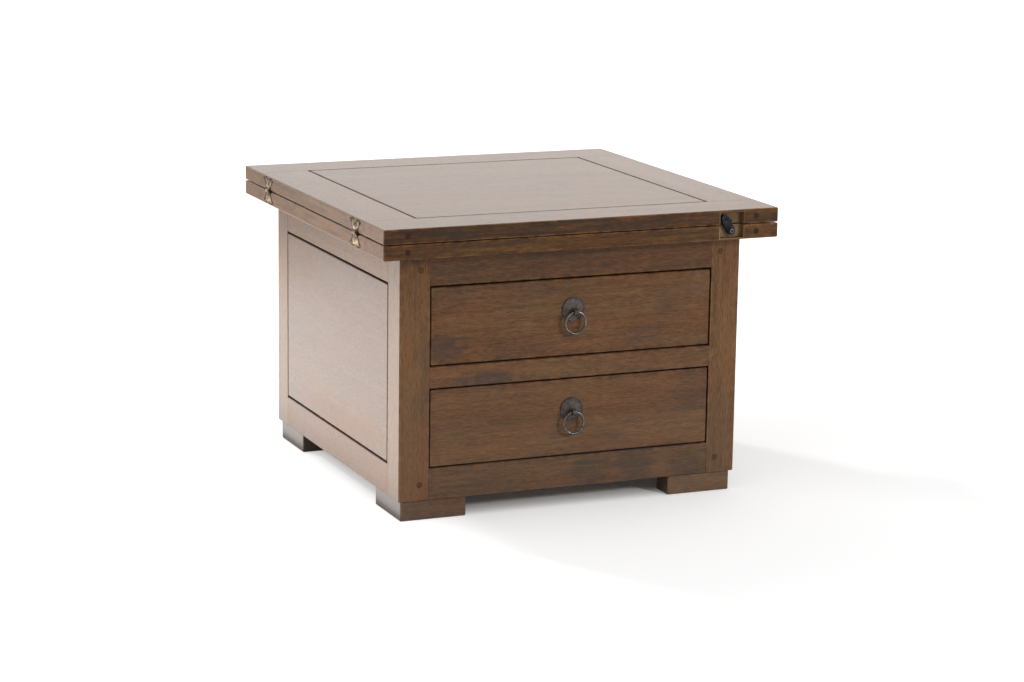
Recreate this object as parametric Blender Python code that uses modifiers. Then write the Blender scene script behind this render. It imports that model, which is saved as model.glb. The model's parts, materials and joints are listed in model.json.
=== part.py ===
"""Extendable coffee table: a folded double top that swivels on a square carcass with two drawers.

Table frame: X to the right, Y to the back, Z up, in metres, with the floor at Z = 0 below the carcass.
The root empty moves that frame along X so that the origin is the middle of the overall width.
"""

import math

import bmesh
import bpy
from mathutils import Vector

# Double top
TOP_WIDTH = 0.600
TOP_DEPTH = 0.600
LEAF_THICK = 0.0206
LEAF_GAP = 0.0016
LEAF_FRAME = 0.075
SWIVEL_GAP = 0.0004
OVERHANG_SIDE = 0.039
OVERHANG_END = 0.040

# Carcass
CARCASS_HEIGHT = 0.350
POST = 0.0445
RAIL_THICK = 0.025
TOP_RAIL = 0.0465
MIDDLE_RAIL = 0.031
BOTTOM_RAIL = 0.0455
SIDE_TOP_RAIL = 0.047
SIDE_BOTTOM_RAIL = 0.046
PANEL_THICK = 0.020
SHADOW_GAP = 0.002
TOP_BOARD_THICK = 0.015
TOP_BOARD_DROP = 0.003
BASE_THICK = 0.014

# Feet
FOOT_HEIGHT = 0.029
FOOT_ARM = 0.0985
FOOT_THICK = 0.0375
FOOT_INSET = 0.0045

# Joinery
FIT = 0.0003
TONGUE_THICK = 0.006
TONGUE_LENGTH = 0.008
GROOVE_STOP = 0.012
TENON_THICK = 0.008
TENON_LENGTH = 0.024
TENON_SHOULDER = 0.008
EDGE_ROUND = 0.0012

# Drawers
DRAWER_GAP = 0.002
DRAWER_FRONT_THICK = 0.020
DRAWER_SIDE_THICK = 0.012
DRAWER_BACK_THICK = 0.012
DRAWER_BOTTOM_THICK = 0.005
DRAWER_BOTTOM_RISE = 0.008
DRAWER_GROOVE = 0.005
DRAWER_RABBET = 0.010
DRAWER_HEADROOM = 0.0235
DRAWER_BACK_ROOM = 0.045
RUNNER_WIDTH = 0.025
RUNNER_THICK = 0.022

# Ring pulls
PULL_RAISE = 0.011
ROSE_RADIUS = 0.0175
ROSE_RIM = 0.0022
ROSE_DOME = 0.0036
ROSE_LIP = 0.0012
EYE_WIDTH = 0.007
EYE_HEIGHT = 0.0098
EYE_DROP = 0.0025
EYE_WALL = 0.0018
EYE_CLEAR = 0.0008
RING_STANDOFF = 0.0058
RING_WIRE = 0.0019
RING_RADIUS = 0.0155
SHANK_RADIUS = 0.0022
SHANK_LENGTH = 0.013

# Butterfly hinges on the left edge
HINGE_FROM_JOINT = 0.036
HINGE_OUTSET = 0.0004
WING_THICK = 0.002
WING_WAIST = 0.023
WING_FLARE = 0.0445
WING_LOBE = 0.0038
WING_CURVE = 1.7
WING_MARGIN = 0.0014
BARREL_RADIUS = 0.0026
BARREL_CLEAR = 0.0005
KNUCKLE = 0.0074
HINGE_PIN_RADIUS = 0.0011
HINGE_PIN_END = 0.0008

# Turn latch on the front edge
LATCH_INSET = 0.0734
LATCH_LEAN = math.radians(30.0)
LEVER_HALF = 0.0060
LEVER_THICK = 0.0055
LEVER_SKIN = 0.0018
LEVER_SETBACK = 0.002
HOOK_END = 0.0054
PIVOT_DROP = 0.0081
STUD_RISE = 0.0048
STUD_RADIUS = 0.0016
STUD_SET = 0.008
HOOK_CLEAR = 0.0006
DIMPLE_RADIUS = 0.0017
DIMPLE_DEEP = 0.0008
PIVOT_RADIUS = 0.0018
PIVOT_HEAD_RADIUS = 0.0033
PIVOT_HEAD_THICK = 0.0015
SOCKET_RADIUS = 0.0018
SOCKET_DEEP = 0.0010
PIVOT_SET = 0.014
RECESS_LEFT = 0.0031
RECESS_RIGHT = 0.0184
RECESS_ABOVE = 0.0011
RECESS_BELOW = 0.0039
RECESS_BEHIND = 0.0015

# Swivel under the lower leaf
SWIVEL_TURN = math.radians(90.0)
FLANGE_RADIUS = 0.030
SWIVEL_STUD_RADIUS = 0.006
SWIVEL_STUD_END = 0.002
NUT_RADIUS = 0.0115
NUT_HEIGHT = 0.008
STOP_RADIUS = 0.090
STOP_PIN_RADIUS = 0.004
STOP_PIN_SET = 0.010
STOP_PIN_SHORT = 0.003

# How far a cutter passes the face that it cuts, and how near two points count as one
PASS = 0.004
MERGE = 0.000001
EMPTY_SIZE = 0.03

# Heights from the floor
CARCASS_LOW = FOOT_HEIGHT
CARCASS_HIGH = CARCASS_LOW + CARCASS_HEIGHT
LOWER_LEAF_LOW = CARCASS_HIGH + SWIVEL_GAP
LOWER_LEAF_HIGH = LOWER_LEAF_LOW + LEAF_THICK
UPPER_LEAF_LOW = LOWER_LEAF_HIGH + LEAF_GAP
UPPER_LEAF_HIGH = UPPER_LEAF_LOW + LEAF_THICK
DRAWER_OPENING = (CARCASS_HEIGHT - TOP_RAIL - MIDDLE_RAIL - BOTTOM_RAIL) / 2
LOWER_OPENING_LOW = CARCASS_LOW + BOTTOM_RAIL
LOWER_OPENING_HIGH = LOWER_OPENING_LOW + DRAWER_OPENING
UPPER_OPENING_LOW = LOWER_OPENING_HIGH + MIDDLE_RAIL
UPPER_OPENING_HIGH = UPPER_OPENING_LOW + DRAWER_OPENING
TOP_BOARD_HIGH = CARCASS_HIGH - TOP_BOARD_DROP
TOP_BOARD_LOW = TOP_BOARD_HIGH - TOP_BOARD_THICK
BASE_HIGH = LOWER_OPENING_LOW
BASE_LOW = BASE_HIGH - BASE_THICK

# Half sizes in plan
HALF_TOP_X = TOP_WIDTH / 2
HALF_TOP_Y = TOP_DEPTH / 2
HALF_X = HALF_TOP_X - OVERHANG_SIDE
HALF_Y = HALF_TOP_Y - OVERHANG_END
POST_IN_X = HALF_X - POST
POST_IN_Y = HALF_Y - POST
RAIL_IN_X = HALF_X - RAIL_THICK
RAIL_IN_Y = HALF_Y - RAIL_THICK
PANEL_MID_X = HALF_X - PANEL_THICK / 2
PANEL_MID_Y = HALF_Y - PANEL_THICK / 2

# Joinery sizes that follow from the fits
GROOVE_WIDTH = TONGUE_THICK + 2 * FIT
GROOVE_DEPTH = TONGUE_LENGTH + FIT

# Hinge, latch and swivel places
HINGE_X = -HALF_TOP_X - HINGE_OUTSET
HINGE_Z = LOWER_LEAF_HIGH + LEAF_GAP / 2
HINGE_Y = HALF_TOP_Y - LEAF_FRAME - HINGE_FROM_JOINT
WING_REACH = LEAF_GAP / 2 + LEAF_THICK - WING_MARGIN
WING_ROOT = BARREL_RADIUS + BARREL_CLEAR
BARREL_LENGTH = 3 * KNUCKLE + 2 * FIT
LATCH_X = HALF_TOP_X - LATCH_INSET
LATCH_Z = LOWER_LEAF_HIGH - PIVOT_DROP
STUD_Z = UPPER_LEAF_LOW + STUD_RISE
HOOK_RADIUS = STUD_Z - LATCH_Z
LEVER_LENGTH = HOOK_RADIUS + HOOK_END
LEVER_FRONT = -HALF_TOP_Y + LEVER_SETBACK
LEVER_BACK = LEVER_FRONT + LEVER_THICK
RECESS_FLOOR = LEVER_BACK + RECESS_BEHIND
SWIVEL_X = -TOP_WIDTH / 4
SWIVEL_Y = TOP_WIDTH / 4

# The hinge barrels stand out on the left only, so the middle of the overall width is not the carcass's middle
ORIGIN_SHIFT = (BARREL_RADIUS + HINGE_OUTSET) / 2

ROUND_STEPS = 16
RING_STEPS = 28
RING_SIDES = 10
ROSE_STEPS = 32
WING_STEPS = 7
SLOT_STEPS = 14


for old in list(bpy.data.objects):
    bpy.data.objects.remove(old, do_unlink=True)

parts = bpy.data.collections.new("extendable_coffee_table")
cutters = bpy.data.collections.new("cutters")
bpy.context.scene.collection.children.link(parts)
bpy.context.scene.collection.children.link(cutters)


def add_material(name, colour, roughness, metallic):
    material = bpy.data.materials.new(name)
    material.use_nodes = True
    shader = material.node_tree.nodes["Principled BSDF"]
    shader.inputs["Base Color"].default_value = (*colour, 1.0)
    shader.inputs["Roughness"].default_value = roughness
    shader.inputs["Metallic"].default_value = metallic
    return material


DARK_WOOD = add_material("dark_wood", (0.105, 0.058, 0.032), 0.42, 0.0)
INNER_WOOD = add_material("inner_wood", (0.290, 0.190, 0.110), 0.60, 0.0)
BRASS = add_material("aged_brass", (0.480, 0.340, 0.150), 0.38, 1.0)
IRON = add_material("dark_iron", (0.060, 0.057, 0.055), 0.42, 1.0)
STEEL = add_material("plain_steel", (0.420, 0.420, 0.410), 0.35, 1.0)


def add_empty(name, point, parent):
    """An empty at a point of the table frame, under another empty."""
    empty = bpy.data.objects.new(name, None)
    empty.empty_display_size = EMPTY_SIZE
    parts.objects.link(empty)
    empty.parent = parent
    empty.location = Vector(point) - frame_point(parent)
    return empty


def frame_point(empty):
    """Where an empty lies in the table frame. The root empty is that frame's origin."""
    point = Vector((0.0, 0.0, 0.0))
    while empty is not None and empty.parent is not None:
        point += empty.location
        empty = empty.parent
    return point


def place(mesh, name, point, parent, material, turn=(0.0, 0.0, 0.0)):
    """A part with its origin at a point of the table frame."""
    piece = bpy.data.objects.new(name, mesh)
    parts.objects.link(piece)
    piece.parent = parent
    piece.location = Vector(point) - frame_point(parent)
    piece.rotation_euler = turn
    mesh.materials.append(material)
    return piece


def helper(mesh, name, point, turn=(0.0, 0.0, 0.0)):
    """A hidden shape that cuts or extends a part."""
    shape = bpy.data.objects.new(name, mesh)
    cutters.objects.link(shape)
    shape.parent = root
    shape.location = Vector(point)
    shape.rotation_euler = turn
    shape.hide_render = True
    shape.display_type = "WIRE"
    return shape


def box_mesh(name, low, high):
    """A box mesh about its own middle, and that middle."""
    low = Vector(low)
    high = Vector(high)
    mesh = bpy.data.meshes.new(name)
    work = bmesh.new()
    bmesh.ops.create_cube(work, size=1.0)
    bmesh.ops.scale(work, vec=high - low, verts=work.verts)
    work.to_mesh(mesh)
    work.free()
    return mesh, (low + high) / 2


def span(first, second):
    return min(first, second), max(first, second)


def corners(x, y, z):
    """Low and high corner of a box from three pairs of limits in either order."""
    limits = (span(*x), span(*y), span(*z))
    return tuple(pair[0] for pair in limits), tuple(pair[1] for pair in limits)


def soften(piece, width, limit="ANGLE"):
    bevel = piece.modifiers.new("edges", "BEVEL")
    bevel.width = width
    bevel.segments = 1
    bevel.limit_method = limit
    bevel.angle_limit = math.radians(40.0)


def board(name, x, y, z, parent, material, edge=EDGE_ROUND, joints=()):
    """A plain board between three pairs of limits, with lightly broken edges.

    joints lists the faces that meet another board flush, as (axis, side). The edges of those stay sharp.
    """
    mesh, middle = box_mesh(name, *corners(x, y, z))
    piece = place(mesh, name, middle, parent, material)
    if edge > 0:
        weights = mesh.attributes.new("bevel_weight_edge", "FLOAT", "EDGE")
        for line, weight in zip(mesh.edges, weights.data):
            tips = [mesh.vertices[index].co for index in line.vertices]
            sharp = any(all(tip[axis] * side > 0 for tip in tips) for axis, side in joints)
            weight.value = 0.0 if sharp else 1.0
        soften(piece, edge, "WEIGHT")
    return piece


def helper_box(name, x, y, z):
    mesh, middle = box_mesh(name, *corners(x, y, z))
    return helper(mesh, name, middle)


def carve(piece, shape):
    cut = piece.modifiers.new("cut_" + shape.name, "BOOLEAN")
    cut.operation = "DIFFERENCE"
    cut.solver = "EXACT"
    cut.object = shape


def extend(piece, shape):
    joined = piece.modifiers.new("join_" + shape.name, "BOOLEAN")
    joined.operation = "UNION"
    joined.solver = "EXACT"
    joined.object = shape


def rod_mesh(name, radius, length, steps):
    mesh = bpy.data.meshes.new(name)
    work = bmesh.new()
    bmesh.ops.create_cone(
        work, cap_ends=True, cap_tris=False, segments=steps, radius1=radius, radius2=radius, depth=length
    )
    work.to_mesh(mesh)
    work.free()
    smooth(mesh)
    return mesh


def smooth(mesh):
    mesh.shade_smooth()
    mesh.set_sharp_from_angle(angle=math.radians(40.0))


ALONG_X = (0.0, math.pi / 2, 0.0)
ALONG_Y = (math.pi / 2, 0.0, 0.0)
ALONG_Z = (0.0, 0.0, 0.0)


def helper_rod(name, radius, length, middle, turn, steps=ROUND_STEPS):
    return helper(rod_mesh(name, radius, length, steps), name, middle, turn)


def outline_mesh(name, points, thick):
    """A flat outline in the local XY plane, with its thickness along local Z about zero."""
    curve = bpy.data.curves.new(name + "_outline", "CURVE")
    curve.dimensions = "2D"
    curve.fill_mode = "BOTH"
    curve.extrude = thick / 2
    spline = curve.splines.new("POLY")
    spline.points.add(len(points) - 1)
    for slot, (u, v) in zip(spline.points, points):
        slot.co = (u, v, 0.0, 1.0)
    spline.use_cyclic_u = True
    shape = bpy.data.objects.new(name + "_outline", curve)
    cutters.objects.link(shape)
    graph = bpy.context.evaluated_depsgraph_get()
    mesh = bpy.data.meshes.new_from_object(shape.evaluated_get(graph))
    bpy.data.objects.remove(shape, do_unlink=True)
    bpy.data.curves.remove(curve)
    work = bmesh.new()
    work.from_mesh(mesh)
    bmesh.ops.remove_doubles(work, verts=work.verts, dist=MERGE)
    for level in (-thick / 2, thick / 2):
        cap = [face for face in work.faces if all(abs(vert.co.z - level) < MERGE for vert in face.verts)]
        bmesh.ops.dissolve_faces(work, faces=cap, use_verts=False)
    bmesh.ops.recalc_face_normals(work, faces=work.faces)
    work.to_mesh(mesh)
    work.free()
    mesh.name = name
    return mesh


def arc(middle, radius, start, end, steps):
    """Points of an arc, both ends included."""
    points = []
    for step in range(steps + 1):
        angle = start + (end - start) * step / steps
        points.append((middle[0] + radius * math.cos(angle), middle[1] + radius * math.sin(angle)))
    return points


root = bpy.data.objects.new("table", None)
parts.objects.link(root)
root.location = (ORIGIN_SHIFT, 0.0, 0.0)
lower_leaf = add_empty("lower_leaf_swivel", (SWIVEL_X, SWIVEL_Y, LOWER_LEAF_LOW), root)
upper_leaf = add_empty("upper_leaf_hinge", (HINGE_X, 0.0, HINGE_Z), lower_leaf)
latch = add_empty("latch_pivot", (LATCH_X, LEVER_FRONT, LATCH_Z), lower_leaf)

SIDES = (("left", -1), ("right", 1))
ENDS = (("front", -1), ("back", 1))

# Both end faces of a board that runs along X or along Y, for its flush joints
X_ENDS = ((0, -1), (0, 1))
Y_ENDS = ((1, -1), (1, 1))


def build_posts():
    for end, sy in ENDS:
        for side, sx in SIDES:
            name = f"{end}_{side}_post"
            post = board(
                name,
                (sx * POST_IN_X, sx * HALF_X),
                (sy * POST_IN_Y, sy * HALF_Y),
                (CARCASS_LOW, CARCASS_HIGH),
                root,
                DARK_WOOD,
                joints=((0, -sx), (1, -sy)),
            )
            groove_z = (CARCASS_LOW + GROOVE_STOP, CARCASS_HIGH - GROOVE_STOP)
            mid_x = sx * PANEL_MID_X
            side_groove = helper_box(
                name + "_side_groove",
                (mid_x - GROOVE_WIDTH / 2, mid_x + GROOVE_WIDTH / 2),
                (sy * (POST_IN_Y - PASS), sy * (POST_IN_Y + GROOVE_DEPTH)),
                groove_z,
            )
            carve(post, side_groove)
            if end == "back":
                back_groove = helper_box(
                    name + "_back_groove",
                    (sx * (POST_IN_X - PASS), sx * (POST_IN_X + GROOVE_DEPTH)),
                    (PANEL_MID_Y - GROOVE_WIDTH / 2, PANEL_MID_Y + GROOVE_WIDTH / 2),
                    groove_z,
                )
                carve(post, back_groove)
                continue
            for rail, low, high in front_rail_levels():
                mid_y = -HALF_Y + RAIL_THICK / 2
                mortise = helper_box(
                    f"{name}_{rail}_mortise",
                    (sx * (POST_IN_X - PASS), sx * (POST_IN_X + TENON_LENGTH + FIT)),
                    (mid_y - TENON_THICK / 2 - FIT, mid_y + TENON_THICK / 2 + FIT),
                    (low + TENON_SHOULDER - FIT, high - TENON_SHOULDER + FIT),
                )
                carve(post, mortise)


def front_rail_levels():
    return (
        ("top", UPPER_OPENING_HIGH, CARCASS_HIGH),
        ("middle", LOWER_OPENING_HIGH, UPPER_OPENING_LOW),
        ("bottom", CARCASS_LOW, LOWER_OPENING_LOW),
    )


def board_groove_z(low, high):
    """Height limits of the groove that holds the tongue of a level board."""
    middle = (low + high) / 2
    return middle - GROOVE_WIDTH / 2, middle + GROOVE_WIDTH / 2


def build_front_rails():
    for rail, low, high in front_rail_levels():
        name = f"front_{rail}_rail"
        piece = board(
            name,
            (-POST_IN_X + FIT, POST_IN_X - FIT),
            (-HALF_Y, -RAIL_IN_Y),
            (low, high),
            root,
            DARK_WOOD,
            joints=X_ENDS,
        )
        mid_y = -HALF_Y + RAIL_THICK / 2
        reach = POST_IN_X + TENON_LENGTH
        tenon = helper_box(
            name + "_tenon",
            (-reach, reach),
            (mid_y - TENON_THICK / 2, mid_y + TENON_THICK / 2),
            (low + TENON_SHOULDER, high - TENON_SHOULDER),
        )
        extend(piece, tenon)
        if rail == "top":
            levels = board_groove_z(TOP_BOARD_LOW, TOP_BOARD_HIGH)
        elif rail == "bottom":
            levels = board_groove_z(BASE_LOW, BASE_HIGH)
        else:
            continue
        groove = helper_box(
            name + "_board_groove",
            (-POST_IN_X, POST_IN_X),
            (-RAIL_IN_Y - GROOVE_DEPTH, -RAIL_IN_Y + PASS),
            levels,
        )
        carve(piece, groove)


def side_rail_levels():
    """Side and back rails: name, then height limits of the rail, its end tongues and its two grooves."""
    top_low = CARCASS_HIGH - SIDE_TOP_RAIL
    bottom_high = CARCASS_LOW + SIDE_BOTTOM_RAIL
    inset = GROOVE_DEPTH + FIT
    stop = GROOVE_STOP + FIT
    return (
        (
            "top",
            (top_low, CARCASS_HIGH),
            (top_low + inset, CARCASS_HIGH - stop),
            (top_low - PASS, top_low + GROOVE_DEPTH),
            board_groove_z(TOP_BOARD_LOW, TOP_BOARD_HIGH),
        ),
        (
            "bottom",
            (CARCASS_LOW, bottom_high),
            (CARCASS_LOW + stop, bottom_high - inset),
            (bottom_high - GROOVE_DEPTH, bottom_high + PASS),
            board_groove_z(BASE_LOW, BASE_HIGH),
        ),
    )


def build_side_rails():
    for side, sx in SIDES:
        for rail, levels, tongue_z, panel_z, board_z in side_rail_levels():
            name = f"{side}_{rail}_rail"
            piece = board(
                name,
                (sx * RAIL_IN_X, sx * HALF_X),
                (-POST_IN_Y + FIT, POST_IN_Y - FIT),
                levels,
                root,
                DARK_WOOD,
                joints=Y_ENDS,
            )
            mid_x = sx * PANEL_MID_X
            reach = POST_IN_Y + TONGUE_LENGTH
            tongue = helper_box(
                name + "_tongue",
                (mid_x - TONGUE_THICK / 2, mid_x + TONGUE_THICK / 2),
                (-reach, reach),
                tongue_z,
            )
            extend(piece, tongue)
            panel_groove = helper_box(
                name + "_panel_groove",
                (mid_x - GROOVE_WIDTH / 2, mid_x + GROOVE_WIDTH / 2),
                (-reach - PASS, reach + PASS),
                panel_z,
            )
            carve(piece, panel_groove)
            board_groove = helper_box(
                name + "_board_groove",
                (sx * (RAIL_IN_X - PASS), sx * (RAIL_IN_X + GROOVE_DEPTH)),
                (-POST_IN_Y, POST_IN_Y),
                board_z,
            )
            carve(piece, board_groove)


def build_back_rails():
    for rail, levels, tongue_z, panel_z, board_z in side_rail_levels():
        name = f"back_{rail}_rail"
        piece = board(
            name,
            (-POST_IN_X + FIT, POST_IN_X - FIT),
            (RAIL_IN_Y, HALF_Y),
            levels,
            root,
            DARK_WOOD,
            joints=X_ENDS,
        )
        reach = POST_IN_X + TONGUE_LENGTH
        tongue = helper_box(
            name + "_tongue",
            (-reach, reach),
            (PANEL_MID_Y - TONGUE_THICK / 2, PANEL_MID_Y + TONGUE_THICK / 2),
            tongue_z,
        )
        extend(piece, tongue)
        panel_groove = helper_box(
            name + "_panel_groove",
            (-reach - PASS, reach + PASS),
            (PANEL_MID_Y - GROOVE_WIDTH / 2, PANEL_MID_Y + GROOVE_WIDTH / 2),
            panel_z,
        )
        carve(piece, panel_groove)
        board_groove = helper_box(
            name + "_board_groove",
            (-POST_IN_X, POST_IN_X),
            (RAIL_IN_Y - PASS, RAIL_IN_Y + GROOVE_DEPTH),
            board_z,
        )
        carve(piece, board_groove)


def build_panels():
    """Left, right and back panels: flush outside, a shadow gap all round, a tongue in the frame's groove."""
    low = CARCASS_LOW + SIDE_BOTTOM_RAIL
    high = CARCASS_HIGH - SIDE_TOP_RAIL
    body_z = (low + SHADOW_GAP, high - SHADOW_GAP)
    tongue_z = (low - TONGUE_LENGTH, high + TONGUE_LENGTH)
    half = TONGUE_THICK / 2
    for side, sx in SIDES:
        name = f"{side}_panel"
        body_y = POST_IN_Y - SHADOW_GAP
        panel = board(
            name,
            (sx * (HALF_X - PANEL_THICK), sx * HALF_X),
            (-body_y, body_y),
            body_z,
            root,
            DARK_WOOD,
        )
        mid_x = sx * PANEL_MID_X
        reach = POST_IN_Y + TONGUE_LENGTH
        tongue = helper_box(name + "_tongue", (mid_x - half, mid_x + half), (-reach, reach), tongue_z)
        extend(panel, tongue)
    body_x = POST_IN_X - SHADOW_GAP
    panel = board(
        "back_panel",
        (-body_x, body_x),
        (HALF_Y - PANEL_THICK, HALF_Y),
        body_z,
        root,
        DARK_WOOD,
    )
    reach = POST_IN_X + TONGUE_LENGTH
    tongue = helper_box(
        "back_panel_tongue",
        (-reach, reach),
        (PANEL_MID_Y - half, PANEL_MID_Y + half),
        tongue_z,
    )
    extend(panel, tongue)


def level_board(name, low, high):
    """A board inside the rails, tongued into all four and cut round the posts."""
    body_x = RAIL_IN_X - FIT
    body_y = RAIL_IN_Y - FIT
    piece = board(name, (-body_x, body_x), (-body_y, body_y), (low, high), root, INNER_WOOD, 0)
    middle = (low + high) / 2
    reach_x = RAIL_IN_X + TONGUE_LENGTH
    reach_y = RAIL_IN_Y + TONGUE_LENGTH
    tongue = helper_box(
        name + "_tongue",
        (-reach_x, reach_x),
        (-reach_y, reach_y),
        (middle - TONGUE_THICK / 2, middle + TONGUE_THICK / 2),
    )
    extend(piece, tongue)
    for end, sy in ENDS:
        for side, sx in SIDES:
            corner = helper_box(
                f"{name}_{end}_{side}_corner",
                (sx * (POST_IN_X - FIT), sx * (reach_x + PASS)),
                (sy * (POST_IN_Y - FIT), sy * (reach_y + PASS)),
                (low - PASS, high + PASS),
            )
            carve(piece, corner)
    return piece


def build_level_boards():
    top = level_board("carcass_top_board", TOP_BOARD_LOW, TOP_BOARD_HIGH)
    middle_z = (TOP_BOARD_LOW + TOP_BOARD_HIGH) / 2
    length = TOP_BOARD_THICK + 2 * PASS
    hole = helper_rod(
        "swivel_hole", SWIVEL_STUD_RADIUS + FIT, length, (SWIVEL_X, SWIVEL_Y, middle_z), ALONG_Z, ROUND_STEPS
    )
    carve(top, hole)
    start = -math.pi / 2
    end = start + SWIVEL_TURN
    half = STOP_PIN_RADIUS + FIT
    first = (STOP_RADIUS * math.cos(start), STOP_RADIUS * math.sin(start))
    last = (STOP_RADIUS * math.cos(end), STOP_RADIUS * math.sin(end))
    cap = ROUND_STEPS // 2
    points = arc((0.0, 0.0), STOP_RADIUS + half, start, end, SLOT_STEPS)
    points += arc(last, half, end, end + math.pi, cap)[1:]
    points += arc((0.0, 0.0), STOP_RADIUS - half, end, start, SLOT_STEPS)[1:]
    points += arc(first, half, start + math.pi, start + 2 * math.pi, cap)[1:-1]
    slot = helper(outline_mesh("stop_slot", points, length), "stop_slot", (SWIVEL_X, SWIVEL_Y, middle_z))
    carve(top, slot)
    level_board("base_panel", BASE_LOW, BASE_HIGH)


def build_runners():
    """Runners of the upper drawer, fixed to the posts' inner faces and level with the middle rail."""
    outer = POST_IN_X - FIT
    for side, sx in SIDES:
        board(
            f"upper_drawer_{side}_runner",
            (sx * (outer - RUNNER_WIDTH), sx * outer),
            (-RAIL_IN_Y + FIT, HALF_Y - PANEL_THICK - FIT),
            (UPPER_OPENING_LOW - RUNNER_THICK, UPPER_OPENING_LOW),
            root,
            INNER_WOOD,
            0,
        )


def build_feet():
    """L-shaped corner feet, set in a little from the carcass faces."""
    for end, sy in ENDS:
        for side, sx in SIDES:
            points = [
                (0.0, 0.0),
                (-sx * FOOT_ARM, 0.0),
                (-sx * FOOT_ARM, -sy * FOOT_THICK),
                (-sx * FOOT_THICK, -sy * FOOT_THICK),
                (-sx * FOOT_THICK, -sy * FOOT_ARM),
                (0.0, -sy * FOOT_ARM),
            ]
            height = FOOT_HEIGHT - FIT
            name = f"{end}_{side}_foot"
            mesh = outline_mesh(name, points, height)
            corner = (sx * (HALF_X - FOOT_INSET), sy * (HALF_Y - FOOT_INSET), height / 2)
            foot = place(mesh, name, corner, root, DARK_WOOD)
            soften(foot, EDGE_ROUND)


def build_leaf(leaf, low, parent):
    """One leaf: full-width front and back rails, stiles between them and a flush tongued panel."""
    high = low + LEAF_THICK
    middle = (low + high) / 2
    in_x = HALF_TOP_X - LEAF_FRAME
    in_y = HALF_TOP_Y - LEAF_FRAME
    tongue_z = (middle - TONGUE_THICK / 2, middle + TONGUE_THICK / 2)
    groove_z = (middle - GROOVE_WIDTH / 2, middle + GROOVE_WIDTH / 2)
    made = {}
    for end, sy in ENDS:
        name = f"{leaf}_leaf_{end}_rail"
        rail = board(
            name,
            (-HALF_TOP_X, HALF_TOP_X),
            (sy * in_y, sy * HALF_TOP_Y),
            (low, high),
            parent,
            DARK_WOOD,
            joints=((1, -sy),),
        )
        groove_x = HALF_TOP_X - GROOVE_STOP
        groove = helper_box(
            name + "_groove",
            (-groove_x, groove_x),
            (sy * (in_y - PASS), sy * (in_y + GROOVE_DEPTH)),
            groove_z,
        )
        carve(rail, groove)
        made[end] = rail
    for side, sx in SIDES:
        name = f"{leaf}_leaf_{side}_stile"
        stile = board(
            name,
            (sx * in_x, sx * HALF_TOP_X),
            (-in_y + FIT, in_y - FIT),
            (low, high),
            parent,
            DARK_WOOD,
            joints=Y_ENDS,
        )
        reach = in_y + TONGUE_LENGTH
        tenon = helper_box(
            name + "_tenon",
            (sx * (in_x + GROOVE_DEPTH + FIT), sx * (HALF_TOP_X - GROOVE_STOP - FIT)),
            (-reach, reach),
            tongue_z,
        )
        extend(stile, tenon)
        groove = helper_box(
            name + "_groove",
            (sx * (in_x - PASS), sx * (in_x + GROOVE_DEPTH)),
            (-reach - PASS, reach + PASS),
            groove_z,
        )
        carve(stile, groove)
        made[side] = stile
    body_x = in_x - SHADOW_GAP
    body_y = in_y - SHADOW_GAP
    panel = board(
        f"{leaf}_leaf_panel",
        (-body_x, body_x),
        (-body_y, body_y),
        (low, high),
        parent,
        DARK_WOOD,
    )
    tongue = helper_box(
        f"{leaf}_leaf_panel_tongue",
        (-in_x - TONGUE_LENGTH, in_x + TONGUE_LENGTH),
        (-in_y - TONGUE_LENGTH, in_y + TONGUE_LENGTH),
        tongue_z,
    )
    extend(panel, tongue)
    made["panel"] = panel
    return made


def grown(points, distance):
    """An anticlockwise outline with every edge moved outwards by a distance."""
    moved = []
    for index, point in enumerate(points):
        before = Vector(points[index - 1])
        here = Vector(point)
        after = Vector(points[(index + 1) % len(points)])
        first = (here - before).normalized()
        second = (after - here).normalized()
        outward = Vector((first.y + second.y, -first.x - second.x))
        moved.append(tuple(here + outward * (distance / (1 + first.dot(second)))))
    return moved


def wing_outline(root_tabs):
    """One butterfly wing as (along the edge, away from the barrel), from the barrel line to its two lobes.

    root_tabs lists the stretches along the edge where the wing runs into the barrel, just short of its axis.
    """
    waist = WING_WAIST / 2
    flare = WING_FLARE / 2
    shoulder = WING_REACH - WING_LOBE
    points = []
    for low, high in root_tabs:
        points += [(low, WING_ROOT), (low, HINGE_OUTSET), (high, HINGE_OUTSET), (high, WING_ROOT)]
    points = [(-waist, WING_ROOT)] + points + [(waist, WING_ROOT)]
    right = []
    for step in range(1, WING_STEPS + 1):
        share = step / WING_STEPS
        width = waist + (flare - waist) * share**WING_CURVE
        right.append((width, WING_ROOT + (shoulder - WING_ROOT) * share))
    end = []
    lobes = 2 * WING_STEPS
    for step in range(1, lobes):
        across = flare * math.cos(math.pi * step / lobes)
        end.append((across, shoulder + WING_LOBE * abs(math.sin(math.pi * across / flare))))
    left = [(-u, v) for u, v in reversed(right)]
    tidy = []
    for point in points + right + end + left:
        if not tidy or math.dist(point, tidy[-1]) > MERGE:
            tidy.append(point)
    return tidy


# Local X runs along the leaf's edge, local Y away from the barrel and local Z across the wing
WING_TURN = {
    "upper": (math.pi / 2, 0.0, math.pi / 2),
    "lower": (-math.pi / 2, 0.0, math.pi / 2),
}


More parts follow.
